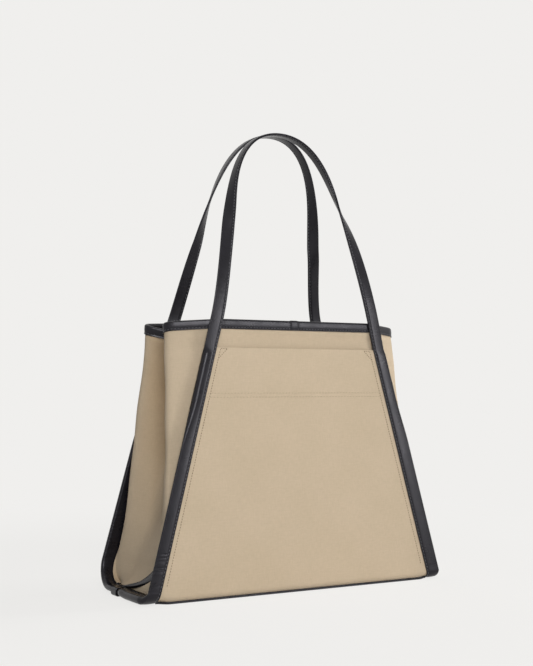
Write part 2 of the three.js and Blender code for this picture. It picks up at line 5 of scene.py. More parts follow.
import bmesh
import bpy
import numpy as np
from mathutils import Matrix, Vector


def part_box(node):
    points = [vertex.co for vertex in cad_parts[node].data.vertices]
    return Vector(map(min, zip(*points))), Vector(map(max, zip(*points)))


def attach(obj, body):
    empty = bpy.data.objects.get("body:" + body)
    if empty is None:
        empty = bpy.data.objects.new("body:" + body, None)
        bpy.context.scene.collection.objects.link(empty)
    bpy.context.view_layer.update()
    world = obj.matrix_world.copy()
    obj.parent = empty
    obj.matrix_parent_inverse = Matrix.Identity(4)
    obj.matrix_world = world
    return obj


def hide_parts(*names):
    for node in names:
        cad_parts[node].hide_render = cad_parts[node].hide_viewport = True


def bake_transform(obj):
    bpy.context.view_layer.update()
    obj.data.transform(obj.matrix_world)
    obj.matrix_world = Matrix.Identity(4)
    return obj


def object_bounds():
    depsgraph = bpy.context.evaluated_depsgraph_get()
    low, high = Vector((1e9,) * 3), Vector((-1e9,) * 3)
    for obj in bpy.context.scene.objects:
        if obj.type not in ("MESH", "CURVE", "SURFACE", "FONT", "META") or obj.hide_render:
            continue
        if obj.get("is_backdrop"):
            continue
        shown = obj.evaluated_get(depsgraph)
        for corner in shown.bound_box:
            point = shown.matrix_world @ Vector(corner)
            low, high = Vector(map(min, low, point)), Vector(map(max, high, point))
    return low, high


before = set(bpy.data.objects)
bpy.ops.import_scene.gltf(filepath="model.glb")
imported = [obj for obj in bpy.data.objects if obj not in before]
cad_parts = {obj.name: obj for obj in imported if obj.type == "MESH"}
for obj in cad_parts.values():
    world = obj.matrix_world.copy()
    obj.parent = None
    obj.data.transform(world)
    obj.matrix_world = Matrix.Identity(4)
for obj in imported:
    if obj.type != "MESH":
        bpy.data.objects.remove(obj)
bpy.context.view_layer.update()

MM = 0.001


def mm(*lengths):
    return tuple(length * MM for length in lengths)


def named_mm(**lengths):
    return {name: length * MM for name, length in lengths.items()}


# Sizes of the bag
RIM_HEIGHT = 331.2 * MM
POCKET_HEIGHT = 297 * MM
BASE_DEPTH, POCKET_DEPTH = mm(149, 130)
BASE_WIDTH, POCKET_WIDTH = mm(386, 227)
STRAP_WIDTH, RIM_BAND, HEM_BAND, KEEPER_WIDTH = mm(18.3, 12.2, 18.5, 15)

# The straps' bends at the base, and where their ends meet, a little behind the middle of the sides
MEETING = 12 * MM
FRONT_CORNER = {**named_mm(radius=14, floor=0.3), "reach": MEETING}
FRONT_RIGHT_CORNER = {**FRONT_CORNER, "radius": 10 * MM}
BACK_CORNER = {**named_mm(radius=34, floor=1.7), "reach": -MEETING}

# Gussets: fold and crease at the rim, how they run down from there, and the feet of their seams
FOLD = named_mm(x=173.5, y=25, z=325.7)
FOLD_SLOPE = {"x": 0.0235, "y": 0.14}
CREASE = named_mm(x=118, z=312)
CREASE_SLOPE = 0.22
CREASE_CURVE = 2.0
CREASE_FOOT = 11.3 * MM
FOOT_FLARE = named_mm(out=36, below=36)
FRONT_FOOT = named_mm(height=33, off=3.6, lap=-1, out=5, drop=3, eased=90, forward=2.5)
BACK_FOOT = named_mm(height=10.4, off=1.4, lap=6, out=8, drop=0, eased=85, forward=0)
SEAM_LAP = -1 * MM
RIM_SEAM = 3.4 * MM
NECK_SEAM = RIM_SEAM - 0.2 * MM
RIM_CLEARANCE, FOLD_CLEARANCE = mm(2, 3)
ROUNDING = 0.3

# Handles: slope of the legs, a shoulder beside the plain leg's line, the way up from it, the crown, how far
# the curve keeps to these directions, and how steeply and how late the strap twists
HANDLE_PATHS = {
    "front": {
        "slope": 0.238,
        "shoulder": mm(-4, -38, 469),
        "rise": (0.294, 0.35, 1),
        "crown": mm(2, -12, 573.2),
        "pull": mm(40, 30, 63),
        "twist": (3.1, 0.85),
    },
    "back": {
        "slope": 0.355,
        "shoulder": mm(0, -42, 431),
        "rise": (0.234, 0.194, 1),
        "crown": mm(5.5, -10, 575.6),
        "pull": mm(22, 30, 75),
        "twist": (2.6, 0.72),
    },
}
LEG_SLOPE = 0.25
HANDLE_WIDTH = 16.8 * MM
HANDLE_NARROWING = 0.12
RIM_PASS = 2 * MM

# Thicknesses, and layers counted inwards from the straps' outer face
CANVAS, LEATHER, BINDING, HANDLE_THICKNESS = mm(1.4, 1.6, 1.3, 3.2)
GAP = 0.3 * MM
POCKET_LAYER = LEATHER + GAP
PANEL_LAYER = POCKET_LAYER + CANVAS + GAP
INNER_LEG = PANEL_LAYER + CANVAS + GAP
STRAP_DEPTH = INNER_LEG + LEATHER
WALL_LAYER = PANEL_LAYER + CANVAS / 2
SEAM_CLEARANCE = GAP + CANVAS / 2

# Heights at the base and at the top of the walls
KEEPER_THICKNESS = 1.4 * MM
STRAP_FLOOR = KEEPER_THICKNESS + GAP
BASE_SHEET = 1.6 * MM
PIPING_RADIUS = named_mm(front=1.5, back=1.2)
PANEL_FOOT = 2.7 * MM
WALL_TOP = RIM_HEIGHT - BINDING - GAP
SHOULDER = POCKET_HEIGHT - 1 * MM
NECK = 1 * MM
BEND_GAP = 1.5 * MM
BASE_INSET = 4.6 * MM

# The photograph's camera
PHOTO_SIZE = (533, 666)
FOCAL_PIXELS = 1199
CAMERA_AT = Vector((-0.7804, -1.3291, 0.2493))
CAMERA_YAW = math.radians(30.16)
CAMERA_PITCH = math.radians(2.58)

SIDES = {"left": 1, "right": -1}
FACES = {"front": 1, "back": -1}
MIRROR_X = (-1, 1, 1)
MIRROR_Y = (1, -1, 1)


def smoothstep(value, low, high):
    share = np.clip((value - low) / (high - low), 0, 1)
    return share * share * (3 - 2 * share)


def lerp(a, b, share):
    return a + (b - a) * share


def unit(v):
    return v / np.linalg.norm(v, axis=-1, keepdims=True)


def steps(count):
    return np.linspace(0, 1, count)


def joined(*parts):
    return np.concatenate(parts)


def coords(*parts):
    """Points from their coordinates."""
    return np.stack(np.broadcast_arrays(*parts), axis=-1)


def everywhere(direction, line):
    """One direction, at each point of a line."""
    return np.broadcast_to(np.array(direction, float), line.shape)


def dent(place, centre, depth, width):
    return depth * np.exp(-(((place - centre) / width) ** 2))


def half_depth(z):
    """Half the bag's depth at a height, to the straps' outer face."""
    return BASE_DEPTH / 2 - (BASE_DEPTH - POCKET_DEPTH) / 2 / POCKET_HEIGHT * z


def inner_edge(z):
    """Half the width of the canvas between the straps."""
    return BASE_WIDTH / 2 - (BASE_WIDTH - POCKET_WIDTH) / 2 / POCKET_HEIGHT * z


# The middle of each strap's bend, drawn at the front
for corner in (FRONT_CORNER, FRONT_RIGHT_CORNER, BACK_CORNER):
    corner["z"] = corner["floor"] + corner["radius"]
    corner["y"] = corner["radius"] - half_depth(corner["z"])


def ripple(u, v, seed, wavelengths, count=8):
    """A gentle unevenness between about -1 and 1, the same on every run."""
    random = np.random.default_rng(seed)
    total = np.zeros(np.broadcast(u, v).shape)
    for _ in range(count):
        heading, phase = random.uniform(0, 2 * np.pi, 2)
        wave = random.uniform(*wavelengths)
        total += np.sin((u * np.cos(heading) + v * np.sin(heading)) * 2 * np.pi / wave + phase)
    return total / math.sqrt(count)


def distances(line):
    """Length along a line of points, at each of them."""
    return joined([0], np.cumsum(np.linalg.norm(np.diff(line, axis=0), axis=1)))


def resampled(line, count, by=None):
    """A line at evenly spaced places, measured along it or along another line with the same points."""
    along = distances(line if by is None else by)
    places = np.linspace(0, along[-1], count)
    return coords(*(np.interp(places, along, line[:, k]) for k in range(line.shape[1])))


# Nodes of the materials
def feed(tree, target, inputs):
    """Gives a node its inputs, which are values or other nodes' outputs."""
    for key, value in inputs.items():
        if isinstance(value, bpy.types.NodeSocket):
            tree.links.new(value, target.inputs[key])
        else:
            target.inputs[key].default_value = value


def node(tree, kind, inputs=None, **settings):
    made = tree.nodes.new(kind)
    for name, value in settings.items():
        setattr(made, name, value)
    feed(tree, made, inputs or {})
    return made


def maths(tree, operation, a, b=0.0):
    return node(tree, "ShaderNodeMath", {0: a, 1: b}, operation=operation).outputs[0]


def noise(tree, place, scale, detail=3.0):
    inputs = {"Vector": place, "Scale": scale, "Detail": detail, "Roughness": 0.55}
    return node(tree, "ShaderNodeTexNoise", inputs).outputs["Fac"]


def stretched_noise(tree, place, scale, detail):
    place = node(tree, "ShaderNodeMapping", {"Vector": place, "Scale": scale}).outputs[0]
    return noise(tree, place, 1.0, detail)


def yarn_noise(tree, place, along, across):
    """Unevenness that follows both directions of the yarn."""
    weft = stretched_noise(tree, place, (along, across, 1), 2.0)
    warp = stretched_noise(tree, place, (across, along, 1), 2.0)
    return maths(tree, "ADD", weft, warp)


def between(tree, share, low, high):
    """A value from low to high as a texture goes from its usual least to its usual most."""
    inputs = {"Value": share, "From Min": 0.25, "From Max": 0.75, "To Min": low, "To Max": high}
    return node(tree, "ShaderNodeMapRange", inputs).outputs[0]


def mixed(tree, share, a, b):
    """A colour from a to b."""
    return node(tree, "ShaderNodeMix", {0: share, 6: (*a, 1), 7: (*b, 1)}, data_type="RGBA").outputs[2]


def times(tree, a, b):
    """The product of two colours."""
    return node(tree, "ShaderNodeVectorMath", {0: a, 1: b}, operation="MULTIPLY").outputs[0]


def shader(name):
    """A new material with its node tree, its main shader and the cloth's own coordinates in metres."""
    material = bpy.data.materials.new(name)
    material.use_nodes = True
    tree = material.node_tree
    place = node(tree, "ShaderNodeUVMap", uv_map="cloth").outputs[0]
    return material, tree, tree.nodes["Principled BSDF"], place


def bump(tree, height, strength, distance, under=None):
    inputs = {"Height": height, "Strength": strength, "Distance": distance}
    if under is not None:
        inputs["Normal"] = under
    return node(tree, "ShaderNodeBump", inputs).outputs[0]


# Canvas: the yarns' spacing, how many slubs and streaks a metre has along and across them, how far off a fold
# closes a place in, and the painted shade it then takes: a darker, warmer tint in place of shade and bounced
# light
YARN = 0.62 * MM
SLUBS = (90, 1400)
STREAKS = (120, 560)
HOLLOW = 90 * MM
FOLD_PAINTED_SHADE = (0.7, 0.5, 0.24)
WHITE = (1, 1, 1)


def canvas_material(name, colour, shade, painted_fold_shade=FOLD_PAINTED_SHADE):
    """Plain-woven cotton: crossing yarns, slubs along both, a faint unevenness of colour, and painted shade
    in folds.
    """
    material, tree, main, place = shader(name)
    parts = node(tree, "ShaderNodeSeparateXYZ", {0: place})
    turns = 2 * math.pi / YARN
    warp, weft = (maths(tree, "SINE", maths(tree, "MULTIPLY", parts.outputs[k], turns)) for k in (0, 1))
    slubs = yarn_noise(tree, place, *SLUBS)
    streaks = yarn_noise(tree, place, *STREAKS)
    grain = maths(tree, "ADD", maths(tree, "MULTIPLY", slubs, 0.2), maths(tree, "MULTIPLY", streaks, 0.3))
    level = between(tree, grain, 0.9, 1.1)
    grey = node(tree, "ShaderNodeCombineXYZ", {0: level, 1: level, 2: level}).outputs[0]
    tint = mixed(tree, between(tree, noise(tree, place, 16.0), 0.0, 1.0), colour, shade)
    # Painted shade: where the cloth closes in on itself, its colour turns darker and warmer, standing in for
    # shade and light bounced between folds
    open_sky = node(tree, "ShaderNodeAmbientOcclusion", {"Distance": HOLLOW}, samples=8, only_local=True)
    painted_shade = mixed(tree, open_sky.outputs["AO"], painted_fold_shade, WHITE)
    coarse = bump(tree, slubs, 0.35, 0.3 * MM)
    feed(tree, main, {
        "Base Color": times(tree, times(tree, tint, grey), painted_shade),
        "Roughness": 0.9,
        "Specular IOR Level": 0.18,
        "Sheen Weight": 0.05,
        "Sheen Roughness": 0.5,
        "Normal": bump(tree, maths(tree, "MULTIPLY", warp, weft), 0.35, 0.12 * MM, coarse),
    })
    return material


def leather_material(name, colour, rough):
    """Smooth black leather: a fine pebbled grain, softer and shinier in places."""
    material, tree, main, place = shader(name)
    pebbles = node(tree, "ShaderNodeTexVoronoi", {"Vector": place, "Scale": 1150.0, "Randomness": 1.0})
    patches = noise(tree, place, 45.0)
    worn = [1.5 * c for c in colour]
    broad = bump(tree, stretched_noise(tree, place, (70, 260, 1), 4.0), 0.25, 0.35 * MM)
    grain = bump(tree, pebbles.outputs["Distance"], 0.3, 0.12 * MM, broad)
    feed(tree, main, {
        "Base Color": mixed(tree, between(tree, patches, 0.0, 1.0), colour, worn),
        "Roughness": between(tree, patches, rough - 0.06, rough + 0.08),
        "Specular IOR Level": 0.26,
        "Specular Tint": (0.95, 0.93, 1.0, 1),
        "Normal": bump(tree, noise(tree, place, 2600.0, 2.0), 0.25, 0.05 * MM, grain),
    })
    return material


def thread_material(name, colour, roughness=0.65, specular=0.15):
    """Twisted sewing thread."""
    material, tree, main, place = shader(name)
    twist = node(tree, "ShaderNodeTexWave", {"Vector": place, "Scale": 900.0, "Distortion": 0.5})
    twist = twist.outputs["Fac"]
    feed(tree, main, {
        "Base Color": mixed(tree, twist, colour, [0.6 * c for c in colour]),
        "Roughness": roughness,
        "Specular IOR Level": specular,
        "Normal": bump(tree, twist, 0.5, 0.1 * MM),
    })
    return material


def board_material(name):
    """Pressed fibreboard with its flecks."""
    material, tree, main, _ = shader(name)
    place = node(tree, "ShaderNodeTexCoord").outputs["Object"]
    flecks = stretched_noise(tree, place, (600, 200, 600), 5.0)
    feed(tree, main, {
        "Base Color": mixed(tree, between(tree, flecks, 0, 1), (0.11, 0.09, 0.07), (0.2, 0.165, 0.13)),
        "Roughness": 0.85,
        "Normal": bump(tree, flecks, 0.4, 0.2 * MM),
    })
    return material


CANVAS_LOOK = canvas_material("sand_canvas", (0.560, 0.452, 0.326), (0.525, 0.425, 0.300))
# Painted light: the gores' canvas is painted paler than the rest, with almost no painted fold shade, standing
# in for light that would reach them behind the hems
GORE_PAINTED_LIGHT_LOOK = canvas_material(
    "sand_canvas_gore_painted_light", (0.66, 0.535, 0.385), (0.62, 0.505, 0.355), (0.97, 0.96, 0.94))
LEATHER_LOOK = leather_material("black_leather", (0.0062, 0.0058, 0.0076), 0.29)
# Partly painted glint: the leather thread is painted dark grey instead of black, so its stitches show as the
# light dashes that the thread's shine would give
LEATHER_THREAD = thread_material("black_thread", (0.1, 0.1, 0.112), 0.38, 0.55)
CANVAS_THREAD = thread_material("brown_thread", (0.29, 0.22, 0.155))
HEM_THREAD = thread_material("sand_thread", (0.56, 0.455, 0.33))


# Meshes
SHARP = math.radians(50)


def add_piece(name, points, faces, uv, material):
    """A mesh object whose faces point out, with its cloth coordinates."""
    mesh = bpy.data.meshes.new(name)
    mesh.from_pydata(points.reshape(-1, 3).tolist(), [], faces)
    shell = bmesh.new()
    shell.from_mesh(mesh)
    bmesh.ops.recalc_face_normals(shell, faces=shell.faces)
    shell.to_mesh(mesh)
    shell.free()
    corners = np.empty(len(mesh.loops), np.int32)
    mesh.loops.foreach_get("vertex_index", corners)
    layer = mesh.uv_layers.new(name="cloth")
    layer.uv.foreach_set("vector", uv.reshape(-1, 2)[corners].astype(np.float32).ravel())
    mesh.shade_smooth()
    mesh.set_sharp_from_angle(angle=SHARP)
    mesh.materials.append(material)
    made = bpy.data.objects.new(name, mesh)
    bpy.context.scene.collection.objects.link(made)
    return made


def dress(made, name):
    """Puts a piece on the bag's own body, in the place of the solid of that name."""
    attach(made, "bag")
    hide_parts(name)
    return made


def grid_faces(rows, columns, loop=False, closed=False, start=0):
    """Quads of a grid; loop joins its last row to its first, and closed its last column to its first."""
    faces = []
    for r in range(rows if loop else rows - 1):
        here = start + r * columns
        there = start + (r + 1) % rows * columns
        for c in range(columns if closed else columns - 1):
            d = (c + 1) % columns
            faces.append((here + c, here + d, there + d, there + c))
    return faces


def make_cloth(name, middle, uv, thickness, material=CANVAS_LOOK):
    """A closed sheet of cloth round a grid of points on its middle surface."""
    rows, columns = middle.shape[:2]
    normal = unit(np.cross(np.gradient(middle, axis=1), np.gradient(middle, axis=0)))
    points = np.stack([middle + normal * thickness / 2, middle - normal * thickness / 2])
    back = rows * columns
    faces = grid_faces(rows, columns) + grid_faces(rows, columns, start=back)
    border = [*range(columns)]
    border += [r * columns + columns - 1 for r in range(1, rows)]
    border += [(rows - 1) * columns + c for c in range(columns - 2, -1, -1)]
    border += [r * columns for r in range(rows - 2, 0, -1)]
    for a, b in zip(border, border[1:] + border[:1]):
        faces.append((a, b, back + b, back + a))
    return dress(add_piece(name, points, faces, np.stack([uv, uv]), material), name)


def sweep(name, section, frames, loop=False):
    """A closed outline of [side, depth] points in leather, carried along frames of at, side and depth.

    The outline runs along one face of the leather and back along the other, so its ends close in pairs.
    """
    at, side, depth = frames
    count = len(at)
    outline = np.broadcast_to(section, (count, *section.shape[-2:]))
    columns = outline.shape[1]
    points = at[:, None] + outline[..., :1] * side[:, None] + outline[..., 1:] * depth[:, None]
    faces = grid_faces(count, columns, loop, closed=True)
    if not loop:
        for first in (0, (count - 1) * columns):
            for j in range(columns // 2 - 1):
                k = columns - 1 - j
                faces.append((first + j, first + j + 1, first + k - 1, first + k))
    around = distances(joined(outline[0], outline[0][:1]))[:-1]
    uv = coords(around, distances(at)[:, None])
    return add_piece(name, points, faces, uv, LEATHER_LOOK)


def make_trim(name, section, frames, **more):
    return dress(sweep(name, section, frames, **more), name)


def mirrored(frames, x=1, y=1):
    return tuple(part * np.array([x, y, 1]) for part in frames)


# Sewing: from stitch to stitch, a stitch's length, the thread's radius and look, and what is sewn
STITCH_RINGS, STITCH_SIDES = 7, 6
STRAP_SEWING = {**named_mm(pitch=4.2, length=2.9, radius=0.45), "look": LEATHER_THREAD, "slot": "leather"}
BINDING_SEWING = {**STRAP_SEWING, **named_mm(radius=0.33)}
HEM_SEWING = {**named_mm(pitch=4.4, length=2.4, radius=0.45), "look": HEM_THREAD, "slot": "canvas"}
TOP_SEWING = {**named_mm(pitch=3.2, length=2, radius=0.45), "look": CANVAS_THREAD, "slot": "canvas"}
TACK_SEWING = {**TOP_SEWING, **named_mm(pitch=2.6, length=1.8)}


def stitch_mesh(name, at, along, out, sewing):
    """A row of stitches: short arches of thread that dip into the material at both ends."""
    radius = sewing["radius"]
    share = np.linspace(-1, 1, STITCH_RINGS)
    turn = np.linspace(0, 2 * np.pi, STITCH_SIDES, endpoint=False)
    thick = radius * np.sqrt(np.clip(1.04 - share**2, 0, 1))
    lift = radius * (0.45 - share**4)
    across = unit(np.cross(along, out))
    ring = share[:, None] * sewing["length"] / 2
    centre = at[:, None] + ring * along[:, None] + lift[:, None] * out[:, None]
    spokes = np.cos(turn)[:, None] * across[:, None, None] + np.sin(turn)[:, None] * out[:, None, None]
    points = centre[:, :, None] + thick[:, None, None] * spokes
    each = STITCH_RINGS * STITCH_SIDES
    faces = []
    for start in range(0, len(at) * each, each):
        faces += grid_faces(STITCH_RINGS, STITCH_SIDES, closed=True, start=start)
        faces.append(tuple(start + k for k in range(STITCH_SIDES)))
        faces.append(tuple(start + each - 1 - k for k in range(STITCH_SIDES)))
    uv = np.broadcast_to(coords(turn * radius, ring), (*points.shape[:3], 2))
    return add_piece(name, points, faces, uv, sewing["look"])


def stitch_row(name, line, out, sewing):
    """Evenly spaced stitches along a line of points with outward directions."""
    count = max(2, int(distances(line)[-1] / sewing["pitch"]))
    ends = resampled(line, 2 * count + 1)
    face = unit(resampled(out, 2 * count + 1, by=line))[1::2]
    along = unit(ends[2::2] - ends[:-1:2])
    face = unit(face - (face * along).sum(1, keepdims=True) * along)
    return stitch_mesh(name, ends[1::2], along, face, sewing)


# Straps that bind the walls' edges: one strip of leather, folded lengthwise, is both strap and handle
STRAP_DOME, HANDLE_DOME = mm(0.45, 0.3)
FLATTENING = mm(5, 13)
DEEPENING = mm(175, 235)
KEPT_END = mm(6, 22)
SLIT, SKIVE = mm(0.03, 0.6)
STITCH_INSET = 2.3 * MM
GROOVE = named_mm(depth=0.55, width=0.85)
EDGE_PLACES = np.array([0, 0.04, 0.15, 0.35, 0.6, 1.1, 1.6, 1.95, 2.15, 2.3, 2.45, 2.65, 3.0, 3.6]) * MM
PAST_EDGE = 4.6 * MM
STRAP_TOP = 284 * MM
WALL_STEPS, BEND_STEPS, RUN_STEPS = 420, 80, 30
LIFTING = (0.5, 0.85)
SEAM_SPARE = 2

# Each strap's bend, its fold depth and width low on the wall, near the handle and along the base, its lean,
# and its creases: from where to where along it, how many, and how deep
HELD = (STRAP_DEPTH, STRAP_WIDTH)
ROLLED = (8.2 * MM, STRAP_WIDTH)
SLACK_CREASES = [(0.188, 0.328, 34, 0.4 * MM)]
STRAPS = {
    "front_left_strap": {
        "corner": FRONT_CORNER,
        "low": mm(4, 16.7),
        "high": mm(12.5, 14.7),
        "rolled": mm(10.5, 22),
        "lean": 0,
        "creases": [(0.233, 0.256, 12, 0.3 * MM), (0.255, 0.318, 8, 0.2 * MM)],
    },
    "front_right_strap": {
        "corner": FRONT_RIGHT_CORNER,
        "low": mm(4, 20),
        "high": mm(8.4, 18.6),
        "rolled": ROLLED,
        "lean": 0.06,
        "creases": [(0.27, 0.318, 6, 0.08 * MM)],
    },
}
for strap, low_width in (("back_left_strap", 20.2 * MM), ("back_right_strap", 18.6 * MM)):
    low = (STRAP_DEPTH, low_width)
    STRAPS[strap] = dict(
        corner=BACK_CORNER, low=low, high=HELD, rolled=ROLLED, lean=0, creases=SLACK_CREASES)
STRAP_TOPS = {}


def leg_places(width):
    """Places across a leather leg from its cut edge, closer at the edge and at its stitches."""
    return joined(EDGE_PLACES, np.linspace(PAST_EDGE, width, 10))


def folded_section(depth, fold_depth, width, dome):
    """A strip folded in two: crowned legs with skived, sewn edges, drawn together at a round fold."""
    fold = fold_depth / 2 - dome
    straight = width - fold
    w = leg_places(straight)
    rounding = np.sqrt(1 - (1 - np.clip(w / SKIVE, 0, 1)) ** 2)
    crown = dome * (2 * w / straight - 1) ** 2
    crown += dent(w, STITCH_INSET, **GROOVE)
    thick = min(LEATHER, fold_depth / 2 - SLIT)
    middle = (crown[0] + thick) / 2
    outer = middle + (crown - middle) * rounding
    inner = middle + (thick - middle) * rounding
    far = lerp(depth, fold_depth, smoothstep(w, *FLATTENING))
    turn = np.linspace(-np.pi / 2, np.pi / 2, 14)[1:-1]
    arc = lambda r: coords(straight + r * np.cos(turn), fold_depth / 2 + r * np.sin(turn))
    outside = joined(coords(w, outer), arc(fold), coords(w, far - outer)[::-1])
    inside = joined(coords(w, inner), arc(fold_depth / 2 - thick), coords(w, far - inner)[::-1])
    return joined(outside, inside[::-1])


def strap_outline(strap, frames):
    """The section along a strap: deep near the handle, thinner down the wall, rolled along the base."""
    at, _, depth = frames
    strip = lambda fold, width: folded_section(STRAP_DEPTH, fold, width, STRAP_DOME)
    low, high, rolled = (strip(*strap[place]) for place in ("low", "high", "rolled"))
    deepened = smoothstep(at[:, 2], *DEEPENING)[:, None, None]
    turned = depth[:, 2][:, None, None]
    to_end = distances(at)[-1] - distances(at)
    kept = 1 - smoothstep(to_end, *KEPT_END)[:, None, None]
    wall = lerp(low, high, deepened)
    wall[..., 1] -= strap["lean"] * wall[..., 0]
    return lerp(lerp(wall, rolled, turned), strip(*HELD), kept)


HANDLE_SECTION = folded_section(HANDLE_THICKNESS, HANDLE_THICKNESS, HANDLE_WIDTH, HANDLE_DOME)
OUTER_SEAM = int(np.argmin(np.abs(leg_places(STRAP_WIDTH) - STITCH_INSET)))
INNER_SEAM = len(HANDLE_SECTION) // 2 - 1 - OUTER_SEAM


def strap_wall(z):
    """A strap's inner edge on its outer face, where it goes down the front wall on the left."""
    return coords(-inner_edge(z), -half_depth(z), z)


def strap_frames(corner):
    """The same edge all along a strap: down the wall, round the bend and along the base."""
    bend_y, bend_z = corner["y"], corner["z"]
    radius = corner["radius"]
    wall = strap_wall(np.linspace(STRAP_TOP, bend_z, WALL_STEPS)[:-1])
    angle = np.linspace(0, np.pi / 2, BEND_STEPS)
    bend = coords(0.0, bend_y - radius * np.cos(angle), bend_z - radius * np.sin(angle))
    share = steps(RUN_STEPS)[1:]
    lifted = lerp(corner["floor"], STRAP_FLOOR, smoothstep(share, *LIFTING))
    run = coords(0.0, lerp(bend_y, corner["reach"] - GAP / 2, share), lifted)
    below = joined(bend, run)
    along = distances(below)
    to_go = BASE_WIDTH / 2 - inner_edge(bend_z)
    easing = (inner_edge(0) - inner_edge(1)) * along[-1] / to_go
    below[:, 0] = to_go * (1 - along / along[-1]) ** easing - BASE_WIDTH / 2
    at = joined(wall, below)
    turned = joined(np.zeros(len(wall)), angle, np.full(len(run), np.pi / 2))
    return at, everywhere((-1, 0, 0), at), coords(0.0, np.cos(turned), np.sin(turned))


for corner in (FRONT_CORNER, BACK_CORNER):
    corner["edge"] = strap_frames(corner)[0]


def strap_edge(z, corner):
    """Half the width between the straps' inner edges at a height, down to the floor."""
    edge = corner["edge"]
    down = edge[:int(np.argmin(edge[:, 2])) + 1][::-1]
    return np.interp(z, down[:, 2], -down[:, 0])


def seam_rows(name, outline, frames):
    """Stitches along both faces of a folded strip, beside its cut edges."""
    at, side, depth = frames
    sewn = slice(SEAM_SPARE, -SEAM_SPARE)
    rows = []
    for face, j, facing in (("outer", OUTER_SEAM, -depth), ("inner", INNER_SEAM, depth)):
        line = at + outline[:, j, :1] * side + outline[:, j, 1:] * depth
        rows.append(stitch_row(f"{name}_{face}_stitches", line[sewn], facing[sewn], STRAP_SEWING))
    return rows


def creased(outline, frames, seed, places):
    """The outline along the strap, with the small cross creases that leather takes where it is bent."""
    random = np.random.default_rng(seed)
    along = distances(frames[0])
    outline = outline.copy()
    across = outline[..., 0].copy()
    outside = np.arange(outline.shape[1]) < outline.shape[1] // 2
    facing = np.where(outline[..., 1] < STRAP_DEPTH / 2, 1.0, -1.0) * outside
    for low, high, count, depth in places:
        for _ in range(count):
            where = random.uniform(low, high)
            wide = random.uniform(0.4, 0.9) * MM
            centre = random.uniform(5, 17) * MM
            reach = random.uniform(4, 9) * MM
            tilt = random.uniform(-0.12, 0.12)
            slant = along[:, None] - where - tilt * (across - centre)
            band = np.exp(-((across - centre) / reach) ** 2)
            outline[..., 1] += depth * random.uniform(0.4, 1) * facing * band * np.exp(-(slant / wide) ** 2)
    return outline


def make_straps():
    for face, y in FACES.items():
        for side, x in SIDES.items():
            name = f"{face}_{side}_strap"
            strap = STRAPS[name]
            frames = strap_frames(strap["corner"])
            placed = mirrored(frames, x, y)
            seed = sum(map(ord, name))
            outline = creased(strap_outline(strap, frames), frames, seed, strap["creases"])
            STRAP_TOPS[name] = outline[0]
            make_trim(name, outline, placed)
            for row in seam_rows(name, outline, placed):
                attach(row, "bag")


make_straps()


# Front wall and its pocket
ACROSS = 121
POCKET_CLOTH = 0.66 * MM
POCKET_TURN = POCKET_CLOTH * 0.52
POCKET_HEM = 62 * MM
POCKET_GAPE = 0.7 * MM
GAPING = mm(230, 297)
HEM_ROWS = mm(7, 2.2)
HEM_END = 1 * MM
WALL_SAG = 0.9 * MM
BULGE_START = mm(4, 60)
BULGE_END = mm(285, 318)
NECK_DIP = 2.6 * MM
DIP_START = mm(280, 303)
DIP_END = mm(306, 320)
CLOTH_LAP = named_mm(strap=5, handle=3)
LAP_CHANGE = (STRAP_TOP - 6 * MM, STRAP_TOP)
TUCK = {"in": 4 * MM, "below": 9 * MM, "corner": 15 * MM}
TOPSTITCH = named_mm(inset=5.6, below=1.5, end=20)
TACK = named_mm(width=9, height=12, below=1.8)


def at_rim(z):
    return smoothstep(z, POCKET_HEIGHT, RIM_HEIGHT - RIM_BAND - RIM_CLEARANCE)


def neck_half_width(z):
    """Half the walls' width above the straps, as far as the gussets' edges under the rim."""
    return inner_edge(z) + lerp(NECK, NECK_SEAM, at_rim(z))


def wall_half_width(z):
    """Half the front cloth's width: a little way into the straps, less where they close up into handles."""
    return inner_edge(z) + lerp(CLOTH_LAP["strap"], CLOTH_LAP["handle"], smoothstep(z, *LAP_CHANGE))


def wall_grid(width, z):
    """x and z of the points across a wall, at each height."""
    return np.linspace(-1, 1, ACROSS) * width[:, None], np.repeat(z[:, None], ACROSS, axis=1)


def free_cloth(x, z):
    """From 0 at the straps to 1 in the middle between them."""
    return np.clip(1 - (np.abs(x) / inner_edge(z)) ** 4, 0, 1)


def tuck(x, z, layer):
    """How far the cloth's foot turns in, slightly along the base and as far as the straps at the corners."""
    radius = np.where(np.asarray(x) < 0, FRONT_CORNER["radius"], FRONT_RIGHT_CORNER["radius"])
    bend = FRONT_CORNER["floor"] + radius
    slight = TUCK["in"] * np.clip(1 - z / TUCK["below"], 0, 1) ** 2
    bent = np.clip((radius - layer) ** 2 - np.clip(bend - z, 0, None) ** 2, 0, None)
    with_strap = np.where(z < bend, radius - layer - np.sqrt(bent), 0)
    return lerp(slight, with_strap, smoothstep(np.abs(x), inner_edge(z) - TUCK["corner"], inner_edge(z)))


def wall_bulge(x, z):
    """How far the front wall's cloth stands out between its sewn edges."""
    free = free_cloth(x, z) * smoothstep(z, *BULGE_START)
    return WALL_SAG * free * (0.5 + 0.7 * ripple(x, z, 11, (0.11, 0.24)))


def front_point(x, z, layer):
    return coords(x, layer + tuck(x, z, layer) - half_depth(z), z)


def pocket_point(x, z, layer):
    gape = POCKET_GAPE * free_cloth(x, z) * smoothstep(z, *GAPING)
    return front_point(x, z, layer - wall_bulge(x, z) - gape)


def front_rows(top):
    bend = FRONT_CORNER["z"] + BEND_GAP
    return joined(np.linspace(PANEL_FOOT, bend - 0.1 * MM, 6), np.linspace(bend, top, 110))


